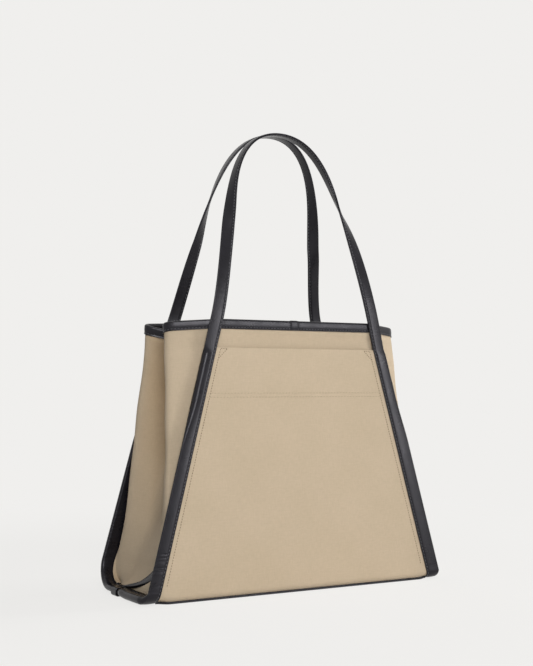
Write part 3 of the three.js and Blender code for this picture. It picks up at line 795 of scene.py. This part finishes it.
def make_front_panel():
    z = joined(front_rows(SHOULDER), np.linspace(SHOULDER + 0.05 * MM, WALL_TOP, 14))
    x, z = wall_grid(np.where(z > SHOULDER, neck_half_width(z), wall_half_width(z)), z)
    bulge = wall_bulge(x, z) * (1 - smoothstep(z, *BULGE_END))
    dip = NECK_DIP * smoothstep(z, *DIP_START) * (1 - smoothstep(z, *DIP_END))
    panel = make_cloth("front_panel", front_point(x, z, WALL_LAYER - bulge + dip), coords(x, z), CANVAS)


def pocket_surface():
    """Middle of the pocket's cloth: up its front, over the fold at its mouth and down its turned-in hem."""
    layer = POCKET_LAYER + POCKET_CLOTH / 2
    turn = POCKET_TURN
    top = POCKET_HEIGHT - turn - POCKET_CLOTH / 2
    front = front_rows(top)
    angle = np.linspace(0, np.pi, 9)[1:-1]
    hem = np.linspace(top, top - POCKET_HEM, 24)
    z = joined(front, top + turn * np.sin(angle), hem)
    over = layer + turn * (1 - np.cos(angle))
    layers = joined(np.full(len(front), layer), over, np.full(len(hem), layer + 2 * turn))
    flat = joined(front, top + turn * angle, top + turn * np.pi + (top - hem))
    return z, layers, flat


def make_pocket():
    z, layers, flat = pocket_surface()
    x, z = wall_grid(wall_half_width(z), z)
    pocket = make_cloth(
        "front_pocket", pocket_point(x, z, layers[:, None]), coords(x, flat[:, None]), POCKET_CLOTH)


def sew_pocket(name, x, z, sewing):
    line = pocket_point(x, z, POCKET_LAYER)
    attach(stitch_row(name, line, everywhere((0, -1, 0), line), sewing), "bag")


def make_pocket_stitches():
    for i, above in enumerate(HEM_ROWS):
        hem = POCKET_HEIGHT - POCKET_HEM + above
        x = np.linspace(1, -1, 200) * (inner_edge(hem) - HEM_END)
        sew_pocket(f"pocket_hem_stitches_{i + 1}", x, np.full_like(x, hem), HEM_SEWING)
    for side, sign in SIDES.items():
        edge = lambda z: -sign * (inner_edge(z) - TOPSTITCH["inset"])
        z = np.linspace(POCKET_HEIGHT - TOPSTITCH["below"], TOPSTITCH["end"], 200)
        sew_pocket(f"pocket_{side}_topstitches", edge(z), z, TOP_SEWING)
        top = POCKET_HEIGHT - TACK["below"]
        share = steps(30)
        corner = edge(top) + sign * TACK["width"] * share
        slant = lerp(edge(top) + sign * TACK["width"], edge(top - TACK["height"]), share)
        sew_pocket(f"pocket_{side}_tack_top", corner, np.full(30, top), TACK_SEWING)
        sew_pocket(f"pocket_{side}_tack_slant", slant, top - TACK["height"] * share, TACK_SEWING)


make_front_panel()
make_pocket()
make_pocket_stitches()


# Back wall and base, slack at their shared corners
SLACK_START = 100 * MM
SLACK_END = inner_edge(BACK_CORNER["z"]) - 2 * BEND_GAP
SLACK_SEAM_ANGLE = 0.75
SEAM_HIDDEN = 0.3 * MM
SEAM_CHANGE = (0, 0.3)
NECK_SLOPE = 15 * MM
BACK_LOW_ROWS = 25
BACK_BULGE_START = mm(20, 90)
BACK_BULGE_END = mm(290, 318)
FLANGE_LAYER = (LEATHER + INNER_LEG) / 2
FLANGE_END = BASE_WIDTH / 2 + 4.5 * MM
STEP_FOOT = BASE_WIDTH / 2 - 13 * MM
STEP_HEAD = BASE_WIDTH / 2 - 9 * MM
STEP_FRONT = 2 * MM
BASE_HALF_DEPTH = BASE_DEPTH / 2 - BASE_INSET
BASE_BEND = BACK_CORNER["radius"] - FLANGE_LAYER
LINING_CUT = (mm(92, 150, 177), mm(0, 26, 42))
LINING_RISE = 0.25 * MM
PIPING_FIT = 0.97
PIPING_LENGTHS = {"front": BASE_WIDTH / 2 - 0.4 * MM, "back": STEP_FOOT}
PIPING_END = named_mm(over=10, back=2.5, inset=0.4)


def slack(x):
    return smoothstep(np.abs(x), SLACK_START, SLACK_END)


def on_flange(x):
    return smoothstep(np.abs(x), STEP_FOOT, STEP_HEAD)


def base_edge(x):
    """How far back the base reaches, on its way up the bend at the slack corners."""
    slack_back = BASE_BEND * math.sin(SLACK_SEAM_ANGLE) - BACK_CORNER["y"]
    return lerp(BASE_HALF_DEPTH, slack_back, slack(x))


def base_height(x, y):
    """Middle of the base's canvas: flat, up a step onto the straps, and bent up at the slack corners."""
    level = lerp(BASE_SHEET / 2, STRAP_FLOOR + FLANGE_LAYER, on_flange(x))
    bend = BASE_BEND * slack(x)
    start = half_depth(level + bend) - FLANGE_LAYER - bend
    past = np.clip(y - start, 0, None)
    return level + bend - np.sqrt(np.clip(bend**2 - past**2, 0, None))


def seamed(x):
    """How far the back wall's foot has turned from standing on the piping to meeting the base's edge."""
    return smoothstep(slack(x), *SEAM_CHANGE)


def back_point(x, z):
    """Middle of the back wall's canvas."""
    loose = slack(x)
    radius = loose * (BACK_CORNER["radius"] - WALL_LAYER)
    bend_top = radius + lerp(BASE_SHEET / 2, STRAP_FLOOR + WALL_LAYER, loose)
    drop = np.clip(bend_top - z, 0, None)
    round_off = np.sqrt(np.clip(radius**2 - drop**2, 0, None))
    y = half_depth(np.maximum(z, bend_top)) - WALL_LAYER - radius + round_off
    free = free_cloth(x, z) * smoothstep(z, *BACK_BULGE_START)
    free = free * (1 - smoothstep(z, *BACK_BULGE_END))
    y = y + WALL_SAG * free * (0.7 + 0.9 * ripple(x, z, 23, (0.10, 0.22)))
    return coords(x, y, z)


def make_back_panel():
    bend = BACK_CORNER["z"]
    half = lambda z: inner_edge(np.maximum(z, bend)) + CLOTH_LAP["strap"]
    x_low = np.linspace(-1, 1, ACROSS) * half(bend)
    seam = base_height(x_low, base_edge(x_low)) - SEAM_HIDDEN
    z_low = lerp(lerp(PANEL_FOOT, seam, seamed(x_low)), bend, steps(BACK_LOW_ROWS)[:, None])
    z_high = joined(np.linspace(bend, SHOULDER - NECK_SLOPE, 90)[1:], np.linspace(SHOULDER, WALL_TOP, 16))
    x_high, z_high = wall_grid(np.where(z_high < SHOULDER, half(z_high), neck_half_width(z_high)), z_high)
    x = joined(np.repeat(x_low[None], BACK_LOW_ROWS, axis=0), x_high)
    z = joined(z_low, z_high)
    panel = make_cloth("back_panel", back_point(x, z), coords(x, z), CANVAS)


def strap_line(y):
    """Half the width between the straps' inner edges along the base, at the back."""
    edge = BACK_CORNER["edge"]
    edge = edge[edge[:, 2] < BACK_CORNER["z"]]
    return np.interp(-y, edge[:, 1], -edge[:, 0])


def make_base_panel():
    step = np.linspace(STEP_FOOT, STEP_HEAD, 7)[1:]
    x = joined(np.linspace(0, STEP_FOOT, 70), step, np.linspace(STEP_HEAD, FLANGE_END, 8)[1:])
    x = joined(-x[:0:-1], x)
    front = lerp(-BASE_HALF_DEPTH, FRONT_CORNER["y"] + STEP_FRONT, on_flange(x))
    y = lerp(front, base_edge(x), steps(61)[:, None])
    z = base_height(x, y)
    end = strap_line(y) + FLANGE_END - BASE_WIDTH / 2
    past = np.clip(np.abs(x) - STEP_HEAD, 0, None)
    x = np.sign(x) * (np.abs(x) - past + past * (end - STEP_HEAD) / (FLANGE_END - STEP_HEAD))
    points = coords(x, y, z)
    base = make_cloth("base_panel", points, points[..., :2], BASE_SHEET)


def make_floor_lining():
    low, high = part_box("floor_lining")
    x = np.linspace(low.x, high.x, 91)
    cut = np.interp(np.abs(x), *LINING_CUT)
    y = lerp(low.y, high.y - cut, steps(41)[:, None])
    rise = LINING_RISE * (1 + ripple(x[None], y, 31, (0.05, 0.12))) / 2
    points = coords(x, y, (low.z + high.z) / 2 + rise)
    lining = make_cloth("floor_lining", points, points[..., :2], high.z - low.z - 0.1 * MM)


def piping_path(face, x):
    """Middle of a piping: along the foot of its wall, and up with the seam at the back corners."""
    radius = PIPING_RADIUS[face]
    plain = BASE_DEPTH / 2 - radius
    if face == "front":
        bent = tuck(x, PANEL_FOOT, POCKET_LAYER)
        end = np.abs(x).max()
        ended = smoothstep(np.abs(x), end - PIPING_END["over"], end)
        return coords(x, bent - bent.min() + PIPING_END["inset"] + PIPING_END["back"] * ended - plain, radius)
    edge = base_edge(x)
    seam = np.maximum(base_height(x, edge) - radius, radius)
    return coords(x, lerp(plain, edge + radius, seamed(x)), lerp(radius, seam, seamed(x)))


def make_piping(face):
    half = PIPING_LENGTHS[face]
    at = piping_path(face, np.linspace(-half, half, 160))
    turn = np.linspace(0, 2 * np.pi, 16, endpoint=False)
    section = PIPING_RADIUS[face] * PIPING_FIT * coords(np.cos(turn), np.sin(turn))
    make_trim(f"{face}_bottom_piping", section, (at, everywhere((0, 1, 0), at), everywhere((0, 0, 1), at)))


make_back_panel()
make_base_panel()
make_floor_lining()
for face in FACES:
    make_piping(face)


# Bellows gussets, their hems and the rim
CORNER_POINTS = 15
STRAIGHT_POINTS = 8
CREASE_MIDDLE = 1 + 2 * STRAIGHT_POINTS + CORNER_POINTS + CORNER_POINTS // 2
CREASE_SAG = named_mm(out=5, z=52, reach=30)
GUSSET_LOW = 0.3
GUSSET_SLACK = 1.2 * MM
HEM_SAG = {"drop": 4.5 * MM, "share": 0.25}
HEM_SHARE = 0.035
HEM_STEPS = 110
HEM_NARROWING = ((0, 0.3, 0.6, 0.85, 1), (1, 0.74, 0.36, 0.24, 0.08))
HEM_THINNING = 2.5


def strap_inside(z, corner, off):
    """Half the bag's depth to a line off the straps' inner face."""
    y, bend = corner["y"], corner["z"]
    inset = STRAP_DEPTH + off
    if z >= bend:
        return half_depth(z) - inset
    return math.sqrt((corner["radius"] - inset) ** 2 - (bend - z) ** 2) - y


def half_gusset(share, foot, corner):
    """The seam and fold of one half of the gusset at a share of its height, drawn at the back."""
    z = lerp(foot["height"], WALL_TOP, share)
    at_foot = 1 - smoothstep(z, foot["height"], foot["eased"])
    inside = strap_inside(z, corner, lerp(SEAM_CLEARANCE, foot["off"], at_foot))
    y = lerp(inside, half_depth(z) - WALL_LAYER, at_rim(z))
    edge = inner_edge(z) if z > STRAP_TOP else strap_edge(z, corner)
    lap = lerp(lerp(SEAM_LAP, foot["lap"], at_foot), RIM_SEAM, at_rim(z))
    fold_z = lerp(foot["height"] - foot["drop"], FOLD["z"], share)
    fold_x = FOLD["x"] + FOLD_SLOPE["x"] * (FOLD["z"] - fold_z) + foot["out"] * at_foot
    fold_y = FOLD["y"] + foot["forward"] + FOLD_SLOPE["y"] * (FOLD["z"] - fold_z)
    return np.array([-edge - lap, y, z]), np.array([-fold_x, min(fold_y, y - FOLD_CLEARANCE), fold_z])


def crease_at(share):
    z = lerp(CREASE_FOOT, CREASE["z"], share)
    flare = FOOT_FLARE["out"] * max(0, 1 - z / FOOT_FLARE["below"]) ** 2
    sag = CREASE_SAG["out"] * math.exp(-(((z - CREASE_SAG["z"]) / CREASE_SAG["reach"]) ** 2))
    out = CREASE_SLOPE * (CREASE["z"] - CREASE_FOOT) * (1 - share) ** CREASE_CURVE
    return np.array([-CREASE["x"] - out - flare - sag, MEETING * (1 - share), z])


def rounded_corner(before, corner, after):
    t = steps(CORNER_POINTS)[:, None]
    start, end = lerp(corner, before, ROUNDING), lerp(corner, after, ROUNDING)
    return (1 - t) ** 2 * start + 2 * t * (1 - t) * corner + t**2 * end


def gusset_row(share):
    """One level of the gusset: seam, fold, crease, fold and seam, from front to back."""
    front_seam, front_fold = (p * MIRROR_Y for p in half_gusset(share, FRONT_FOOT, FRONT_CORNER))
    seam, fold = half_gusset(share, BACK_FOOT, BACK_CORNER)
    crease = crease_at(share)
    bends = [
        rounded_corner(front_seam, front_fold, crease),
        rounded_corner(front_fold, crease, fold),
        rounded_corner(crease, fold, seam),
    ]
    straight = lambda a, b: lerp(a, b, steps(STRAIGHT_POINTS + 2)[1:-1, None])
    row = joined(
        front_seam[None], straight(front_seam, bends[0][0]), bends[0], straight(bends[0][-1], bends[1][0]),
        bends[1], straight(bends[1][-1], bends[2][0]), bends[2], straight(bends[2][-1], seam), seam[None])
    hung = np.sin(np.pi * np.clip((row[:, 1] - front_fold[1]) / (crease[1] - front_fold[1]), 0, 1))
    row[:, 2] -= HEM_SAG["drop"] * hung * (1 - smoothstep(share, 0, HEM_SAG["share"]))
    return row


def gusset_surface():
    """Rows of points from the hem to the rim, with a little slack between the sewn edges."""
    shares = joined(np.linspace(0, GUSSET_LOW, 40)[:-1], np.linspace(GUSSET_LOW, 1, 70))
    rows = np.stack([gusset_row(share) for share in shares])
    u = np.stack([distances(row) for row in rows])
    u -= u[:, -1:] / 2
    v = np.repeat(shares[:, None] * WALL_TOP, rows.shape[1], axis=1)
    normal = unit(np.cross(np.gradient(rows, axis=1), np.gradient(rows, axis=0)))
    from_middle = 2 * np.abs(u) / (u[:, -1:] - u[:, :1])
    free = np.clip((1 - from_middle**6) * np.sin(np.pi * shares)[:, None] ** 0.5, 0, 1)
    slackness = GUSSET_SLACK * free * ripple(u, v, 41, (0.06, 0.16))
    return rows + normal * slackness[..., None], coords(u, v)


BINDING_SLOT = CANVAS + 4 * GAP
BINDING_FOLD = BINDING_SLOT / 2 + BINDING
BINDING_EDGE = np.array([0, 0.04, 0.15, 0.35, 0.6, 1.2, 1.7, 2.0, 2.2, 2.4, 2.7, 3.2]) * MM
BINDING_PAST_EDGE, BINDING_SKIVE, BINDING_INSET = mm(4.2, 0.5, 2.2)
BINDING_PINCH = named_mm(depth=0.55, width=2.6)
BINDING_GROOVE = named_mm(depth=0.2, width=0.5)
BINDING_SINK = 0.75 * MM
INNER_PINCH = 0.8


def binding_section(height):
    """Thin leather folded over an edge: a round fold and two legs that the stitches pinch together."""
    down = joined(BINDING_EDGE, np.linspace(BINDING_PAST_EDGE, height - BINDING_FOLD, 6))
    rounding = np.sqrt(1 - (1 - np.clip(down / BINDING_SKIVE, 0, 1)) ** 2)
    pinch = dent(down, BINDING_INSET, **BINDING_PINCH)
    outer = BINDING_FOLD - pinch - dent(down, BINDING_INSET, **BINDING_GROOVE)
    inner = BINDING_SLOT / 2 - INNER_PINCH * pinch
    middle = (outer[0] + inner[0]) / 2
    turn = np.linspace(0, np.pi, 16)[1:-1]
    faces = []
    for across, radius in ((outer, BINDING_FOLD), (inner, BINDING_SLOT / 2)):
        leg = coords(-(middle + (across - middle) * rounding), height - down)
        arc = coords(-radius * np.cos(turn), BINDING_FOLD - radius * np.sin(turn))
        faces.append(joined(leg, arc, (leg * (-1, 1))[::-1]))
    return joined(faces[0], faces[1][::-1])


def binding_frames(edge, into, loop=False):
    if loop:
        tangent = np.roll(edge, -1, axis=0) - np.roll(edge, 1, axis=0)
    else:
        tangent = np.gradient(edge, axis=0)
    depth = unit(into - edge)
    side = unit(np.cross(depth, tangent))
    return edge - depth * (BINDING + GAP), side, depth


def binding_stitches(name, frames, height):
    at, side, depth = frames
    out = BINDING_FOLD - BINDING_SINK
    for face, sign in (("outer", 1), ("inner", -1)):
        line = at + sign * out * side + (height - BINDING_INSET) * depth
        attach(stitch_row(f"{name}_{face}_stitches", line, sign * side, BINDING_SEWING), "bag")


def make_gussets():
    points, uv = gusset_surface()
    edge, into = (gusset_row(share)[1:CREASE_MIDDLE + 1] for share in (0.0, HEM_SHARE))
    frames = binding_frames(resampled(edge, HEM_STEPS), resampled(into, HEM_STEPS, by=edge))
    narrowing = np.interp(steps(HEM_STEPS), *HEM_NARROWING)[:, None]
    section = np.repeat(binding_section(HEM_BAND)[None], HEM_STEPS, axis=0)
    section[..., 1] *= narrowing
    section[..., 0] *= np.clip(HEM_THINNING * narrowing, 0, 1)
    for name, x in SIDES.items():
        gusset = make_cloth(f"{name}_gusset", points * [x, 1, 1], uv, CANVAS)
        placed = mirrored(frames, x)
        make_trim(f"{name}_gusset_hem", section, placed)
        binding_stitches(f"{name}_gusset_hem", placed, HEM_BAND * narrowing)


GORE_FOOT = {"x": BASE_WIDTH / 2 + 0.5 * MM, "front": -58 * MM, "z": 8.2 * MM}
GORE_TOP = np.array([-185, -60.5, 40]) * MM
GORE_END = np.array([-189.5, 6, 10.5]) * MM
GORE_BULGE = 1.5 * MM


def make_gores():
    """Canvas corners that rise from the base behind the hems."""
    along = steps(31)
    rise = steps(15)[:, None]
    foot_y = lerp(GORE_FOOT["front"], GORE_END[1], along)
    foot = coords(-GORE_FOOT["x"], foot_y, GORE_FOOT["z"])
    top = lerp(GORE_TOP, GORE_END, along[:, None])
    points = lerp(foot, top, rise[..., None])
    points[..., 0] -= GORE_BULGE * np.sin(np.pi * rise) * np.sin(np.pi * along)
    long, tall = GORE_END[1] - GORE_FOOT["front"], float(np.linalg.norm(top[0] - foot[0]))
    uv = coords(foot_y, rise * tall)
    for name, x in SIDES.items():
        # The gores use the paler canvas with painted light
        gore = make_cloth(f"{name}_base_gore", points * [x, 1, 1], uv, CANVAS, GORE_PAINTED_LIGHT_LOOK)


# The rim's two ends overlap near the middle of the front
JOINT = {**named_mm(x=-9, length=13, rise=0.5, step=0.5), "level": 0.6}
MOUTH_INSET = 3 * MM
RIM_STEPS = 560
RIM_SHARE = 0.96
RIM_FRONT = -50 * MM
RIM_CROWN = 3 * MM


def mouth_line(share):
    """One level of the mouth's outline, closed: front wall, right gusset, back wall, left gusset."""
    left = gusset_row(share)
    z = left[0, 2]
    half = inner_edge(RIM_HEIGHT) - MOUTH_INSET
    front = coords(np.linspace(-half, half, 41), WALL_LAYER - half_depth(z), z)
    return joined(front, left * MIRROR_X, (front * MIRROR_Y)[::-1], left[::-1], front[:1])


def make_rim():
    edge, into = mouth_line(1.0), mouth_line(RIM_SHARE)
    rim_edge = resampled(edge, RIM_STEPS + 1)[:-1]
    frames = binding_frames(rim_edge, resampled(into, RIM_STEPS + 1, by=edge)[:-1], loop=True)
    section = binding_section(RIM_BAND)
    outline = np.repeat(section[None], RIM_STEPS, axis=0)
    past = rim_edge[:, 0] - JOINT["x"]
    fading = smoothstep(past, JOINT["length"] * JOINT["level"], JOINT["length"])
    lap = smoothstep(past, 0, JOINT["step"]) * (1 - fading) * (rim_edge[:, 1] < RIM_FRONT) * JOINT["rise"]
    outside = np.arange(len(section)) < len(section) // 2
    outline[..., 0] += lap[:, None] * np.sign(section[:, 0]) * outside
    outline[..., 1] -= lap[:, None] * outside * (section[:, 1] < RIM_CROWN)
    make_trim("rim_binding", outline, frames, loop=True)
    binding_stitches("rim_binding", tuple(joined(part, part[:1]) for part in frames), RIM_BAND)


make_gussets()
make_gores()
make_rim()


# Keepers
KEEPER_LIP, KEEPER_FOOT = mm(5.5, 3)
KEEPER_LOW_ROUND, KEEPER_HIGH_ROUND = mm(2.6, 3.2)
KEEPER_EDGE = 0.6 * MM


def flat_section(width, thickness, rounding):
    """A flat strip's outline, with round edges."""
    half, thick = width / 2, thickness / 2
    near = np.linspace(0, np.pi / 2, 6)[:-1]
    edge = -half + rounding * (1 - np.cos(near))
    s = joined(edge, np.linspace(-half + rounding, half - rounding, 12), -edge[::-1])
    over = np.clip((np.abs(s) - half + rounding) / rounding, 0, 1)
    d = thick * np.sqrt(1 - np.clip(over, 0, 0.995) ** 2)
    return joined(coords(s, d), coords(s, -d)[::-1])


def make_keepers():
    half = KEEPER_THICKNESS / 2
    out = inner_edge(0) + STRAP_WIDTH + GAP + half
    over = STRAP_FLOOR + STRAP_DEPTH + GAP + half
    turn = np.linspace(0, np.pi / 2, 12)
    r = KEEPER_LOW_ROUND
    low = coords(out - r + r * np.sin(turn), half + r * (1 - np.cos(turn)))
    r = KEEPER_HIGH_ROUND
    high = coords(out - r + r * np.cos(turn), over - r + r * np.sin(turn))
    path = joined([[BASE_WIDTH / 2 - KEEPER_FOOT, half]], low, high, [[out - half - KEEPER_LIP, over]])
    path = resampled(path, 60)
    at = coords(-path[:, 0], MEETING, path[:, 1])
    side = everywhere((0, 1, 0), at)
    depth = np.cross(unit(np.gradient(at, axis=0)), side)
    section = flat_section(KEEPER_WIDTH, KEEPER_THICKNESS, KEEPER_EDGE)
    for name, x in SIDES.items():
        make_trim(f"{name}_keeper", section, mirrored((at, side, depth), x))


make_keepers()


# Handles
HANDLE_STEPS = 300
LEAN_START = 0.2
NARROWED_AT = 0.8
CLOSING = mm(289, 300)


def bezier(a, b, c, d):
    t = steps(120)[:, None]
    return (1 - t) ** 3 * a + 3 * t * (1 - t) ** 2 * b + 3 * t**2 * (1 - t) * c + t**3 * d


def handle_half(path):
    """A handle's left half, drawn at the front: from where it is sewn in, past the rim, up to the crown."""
    foot_x = -inner_edge(POCKET_HEIGHT) - HANDLE_WIDTH / 2
    foot_z = POCKET_HEIGHT + GAP
    on_leg = lambda y, z: np.array([foot_x + path["slope"] * (z - foot_z), y, z])
    foot = on_leg(HANDLE_THICKNESS / 2 - half_depth(POCKET_HEIGHT), foot_z)
    rim = on_leg(-half_depth(RIM_HEIGHT) - GAP, RIM_HEIGHT + RIM_PASS)
    shoulder = np.array(path["shoulder"])
    shoulder[0] += foot_x + LEG_SLOPE * (shoulder[2] - foot_z)
    crown = np.array(path["crown"]) * [0, 1, 1]
    up_leg, up_arch = np.array([path["slope"], 0, 1]), np.array(path["rise"])
    from_leg, to_arch, to_crown = path["pull"]
    lower = bezier(rim, rim + from_leg * up_leg, shoulder - from_leg * up_arch, shoulder)
    upper = bezier(shoulder, shoulder + to_arch * up_arch, crown - [to_crown, 0, 0], crown)
    return joined(lerp(foot, rim, steps(40)[:-1, None]), lower[:-1], upper)


def handle_frames(path):
    """A handle's cut edges on its outer face, from the top of one strap over the arch to the other strap."""
    half = resampled(handle_half(path), HANDLE_STEPS // 2 + 1)
    middle = joined(half, (half * MIRROR_X)[-2::-1])
    share = joined(steps(len(half)), np.linspace(1, 0, len(half))[1:])
    middle[:, 0] += path["crown"][0] * smoothstep(share, LEAN_START, 1)
    along = unit(np.gradient(middle, axis=0))
    outward = unit(np.cross([0.0, -1, 0], along))
    forward = unit(np.cross(along, outward))
    straight = (RIM_HEIGHT - POCKET_HEIGHT) / distances(half)[-1]
    climbed = np.clip((share - straight) / (1 - straight), 0, 1)
    power, lateness = path["twist"]
    turned = climbed**power / (climbed**power + lateness * (1 - climbed) ** power)
    twist = (np.pi / 2 * turned)[:, None]
    face = forward * np.cos(twist) + outward * np.sin(twist)
    side = outward * np.cos(twist) - forward * np.sin(twist)
    freed = smoothstep(share, 0, straight)[:, None]
    level = np.where(np.arange(len(middle)) < len(half), -1.0, 1.0)[:, None] * np.array([1.0, 0, 0])
    side = unit(lerp(level, side, freed))
    face = unit(lerp(np.array([0.0, -1, 0]), face, freed))
    narrow = 1 - HANDLE_NARROWING * smoothstep(climbed, 0, NARROWED_AT)
    edge = middle - side * narrow[:, None] * HANDLE_WIDTH / 2 + face * HANDLE_THICKNESS / 2
    sewn = strap_wall(np.linspace(STRAP_TOP, POCKET_HEIGHT, 12)[:-1])
    at = joined(sewn, edge, (sewn * MIRROR_X)[::-1])
    ends, inward, full = everywhere((1, 0, 0), sewn), everywhere((0, 1, 0), sewn), np.ones(len(sewn))
    return (at, joined(-ends, side, ends), joined(inward, -face, inward)), joined(full, narrow, full)


def make_handles():
    for face, y in FACES.items():
        name = f"{face}_handle"
        frames, narrow = handle_frames(HANDLE_PATHS[face])
        closed = smoothstep(frames[0][:, 2], *CLOSING)[:, None, None]
        tops = [STRAP_TOPS[f"{face}_{side}_strap"] for side in SIDES]
        sewn = np.repeat(np.stack(tops), len(closed) // 2 + 1, axis=0)[:len(closed)]
        outline = lerp(sewn, HANDLE_SECTION, closed)
        outline[..., 0] *= narrow[:, None]
        placed = mirrored(frames, 1, y)
        handle = sweep(name, outline, placed)
        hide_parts(name)
        for piece in (handle, *seam_rows(name, outline, placed)):
            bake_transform(piece)


make_handles()

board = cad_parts["base_board"]
board.data.materials.clear()
board.data.materials.append(board_material("fibreboard"))


# Studio: the background, a floor that runs out into it, and lamps by place, size and watts
BACKGROUND = (0.871, 0.863, 0.847)
AMBIENT = {"Color": (1.0, 0.995, 0.985, 1), "Strength": 0.02}
FLOOR_COLOUR = (0.88, 0.873, 0.86)
FLOOR_GLOW = (0.904, 0.896, 0.879)
FLOOR_FADE = (0.35, 1.1)
FLOOR_SIZE = 12
FLOOR_AT = (0, 0, -0.3 * MM)
SHADOW_SHARE = 0.17
SENSOR_WIDTH = 36
TARGET = Vector((0, 0, 0.2))
LAMPS = {
    "near_left": ((-1.0, -2.05, 1.2), (1.0, 1.0), 33),
    "left": ((-2.3, -0.75, 0.5), (0.8, 0.8), 2),
    "key": ((1.22, -2.12, 0.45), (0.5, 0.85), 16),
    "right": ((2.03, -0.18, 1.02), (0.7, 1.4), 30),
    "top": ((0.1, 0.3, 2.3), (1.6, 1.6), 6),
    "back": ((0.5, 2.3, 1.0), (1.2, 1.2), 10),
}
UNMIRRORED = ("left", "right", "back")


def shown_rays(tree):
    """1 for rays that show the background: to the camera, in reflections and through glass."""
    path = node(tree, "ShaderNodeLightPath")
    mirrored_too = maths(tree, "MAXIMUM", path.outputs["Is Camera Ray"], path.outputs["Is Glossy Ray"])
    return maths(tree, "MAXIMUM", mirrored_too, path.outputs["Is Transmission Ray"])


def blended(tree, share, near, far, output):
    """Ends a node tree in a mix of two of its shaders."""
    both = node(tree, "ShaderNodeMixShader", {0: share, 1: near.outputs[0], 2: far.outputs[0]})
    tree.links.new(both.outputs[0], tree.nodes[output].inputs[0])


def make_floor():
    """A pale floor that takes a faint shadow and runs out into the background."""
    bpy.ops.mesh.primitive_grid_add(x_subdivisions=8, y_subdivisions=8, size=FLOOR_SIZE, location=FLOOR_AT)
    floor = bpy.context.object
    floor.name = "studio_floor"
    material, tree, main, _ = shader("pale_floor")
    feed(tree, main, {"Base Color": (*FLOOR_COLOUR, 1), "Roughness": 0.95, "Specular IOR Level": 0.1})
    place = node(tree, "ShaderNodeTexCoord").outputs["Object"]
    away = node(tree, "ShaderNodeVectorMath", {0: place}, operation="LENGTH").outputs["Value"]
    inputs = {"Value": away, "From Min": FLOOR_FADE[0], "From Max": FLOOR_FADE[1]}
    faded = node(tree, "ShaderNodeMapRange", inputs, interpolation_type="SMOOTHSTEP").outputs[0]
    lit = maths(tree, "MULTIPLY", maths(tree, "SUBTRACT", 1.0, faded), SHADOW_SHARE)
    share = maths(tree, "MULTIPLY", maths(tree, "SUBTRACT", 1.0, lit), shown_rays(tree))
    shade = mixed(tree, faded, FLOOR_GLOW, BACKGROUND)
    plain = node(tree, "ShaderNodeEmission", {"Color": shade, "Strength": 1.0})
    blended(tree, share, main, plain, "Material Output")
    floor.data.materials.append(material)
    floor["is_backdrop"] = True


def make_world():
    world = bpy.data.worlds.new("studio")
    bpy.context.scene.world = world
    world.use_nodes = True
    tree = world.node_tree
    feed(tree, tree.nodes["Background"], AMBIENT)
    backdrop = node(tree, "ShaderNodeBackground", {"Color": (*BACKGROUND, 1), "Strength": 1.0})
    blended(tree, shown_rays(tree), tree.nodes["Background"], backdrop, "World Output")


def aimed(name, data, at, heading):
    """An object that looks along a direction."""
    made = bpy.data.objects.new(name, data)
    made.location = at
    made.rotation_euler = heading.to_track_quat("-Z", "Y").to_euler()
    bpy.context.scene.collection.objects.link(made)
    return made


def make_lamp(name, at, size, watts):
    data = bpy.data.lights.new(name, "AREA")
    data.shape = "RECTANGLE"
    data.size, data.size_y = size
    data.energy = watts
    aimed(name, data, at, TARGET - Vector(at)).visible_glossy = name not in UNMIRRORED


def make_camera():
    data = bpy.data.cameras.new("photo_camera")
    data.sensor_width = SENSOR_WIDTH
    data.lens = FOCAL_PIXELS / max(PHOTO_SIZE) * data.sensor_width
    level = math.cos(CAMERA_PITCH)
    heading = Vector((math.sin(CAMERA_YAW) * level, math.cos(CAMERA_YAW) * level, math.sin(CAMERA_PITCH)))
    bpy.context.scene.camera = aimed("photo_camera", data, CAMERA_AT, heading)


make_floor()
make_world()
for lamp, (at, size, watts) in LAMPS.items():
    make_lamp(lamp, at, size, watts)
make_camera()
bpy.context.scene.view_settings.view_transform = "Standard"

low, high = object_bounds()
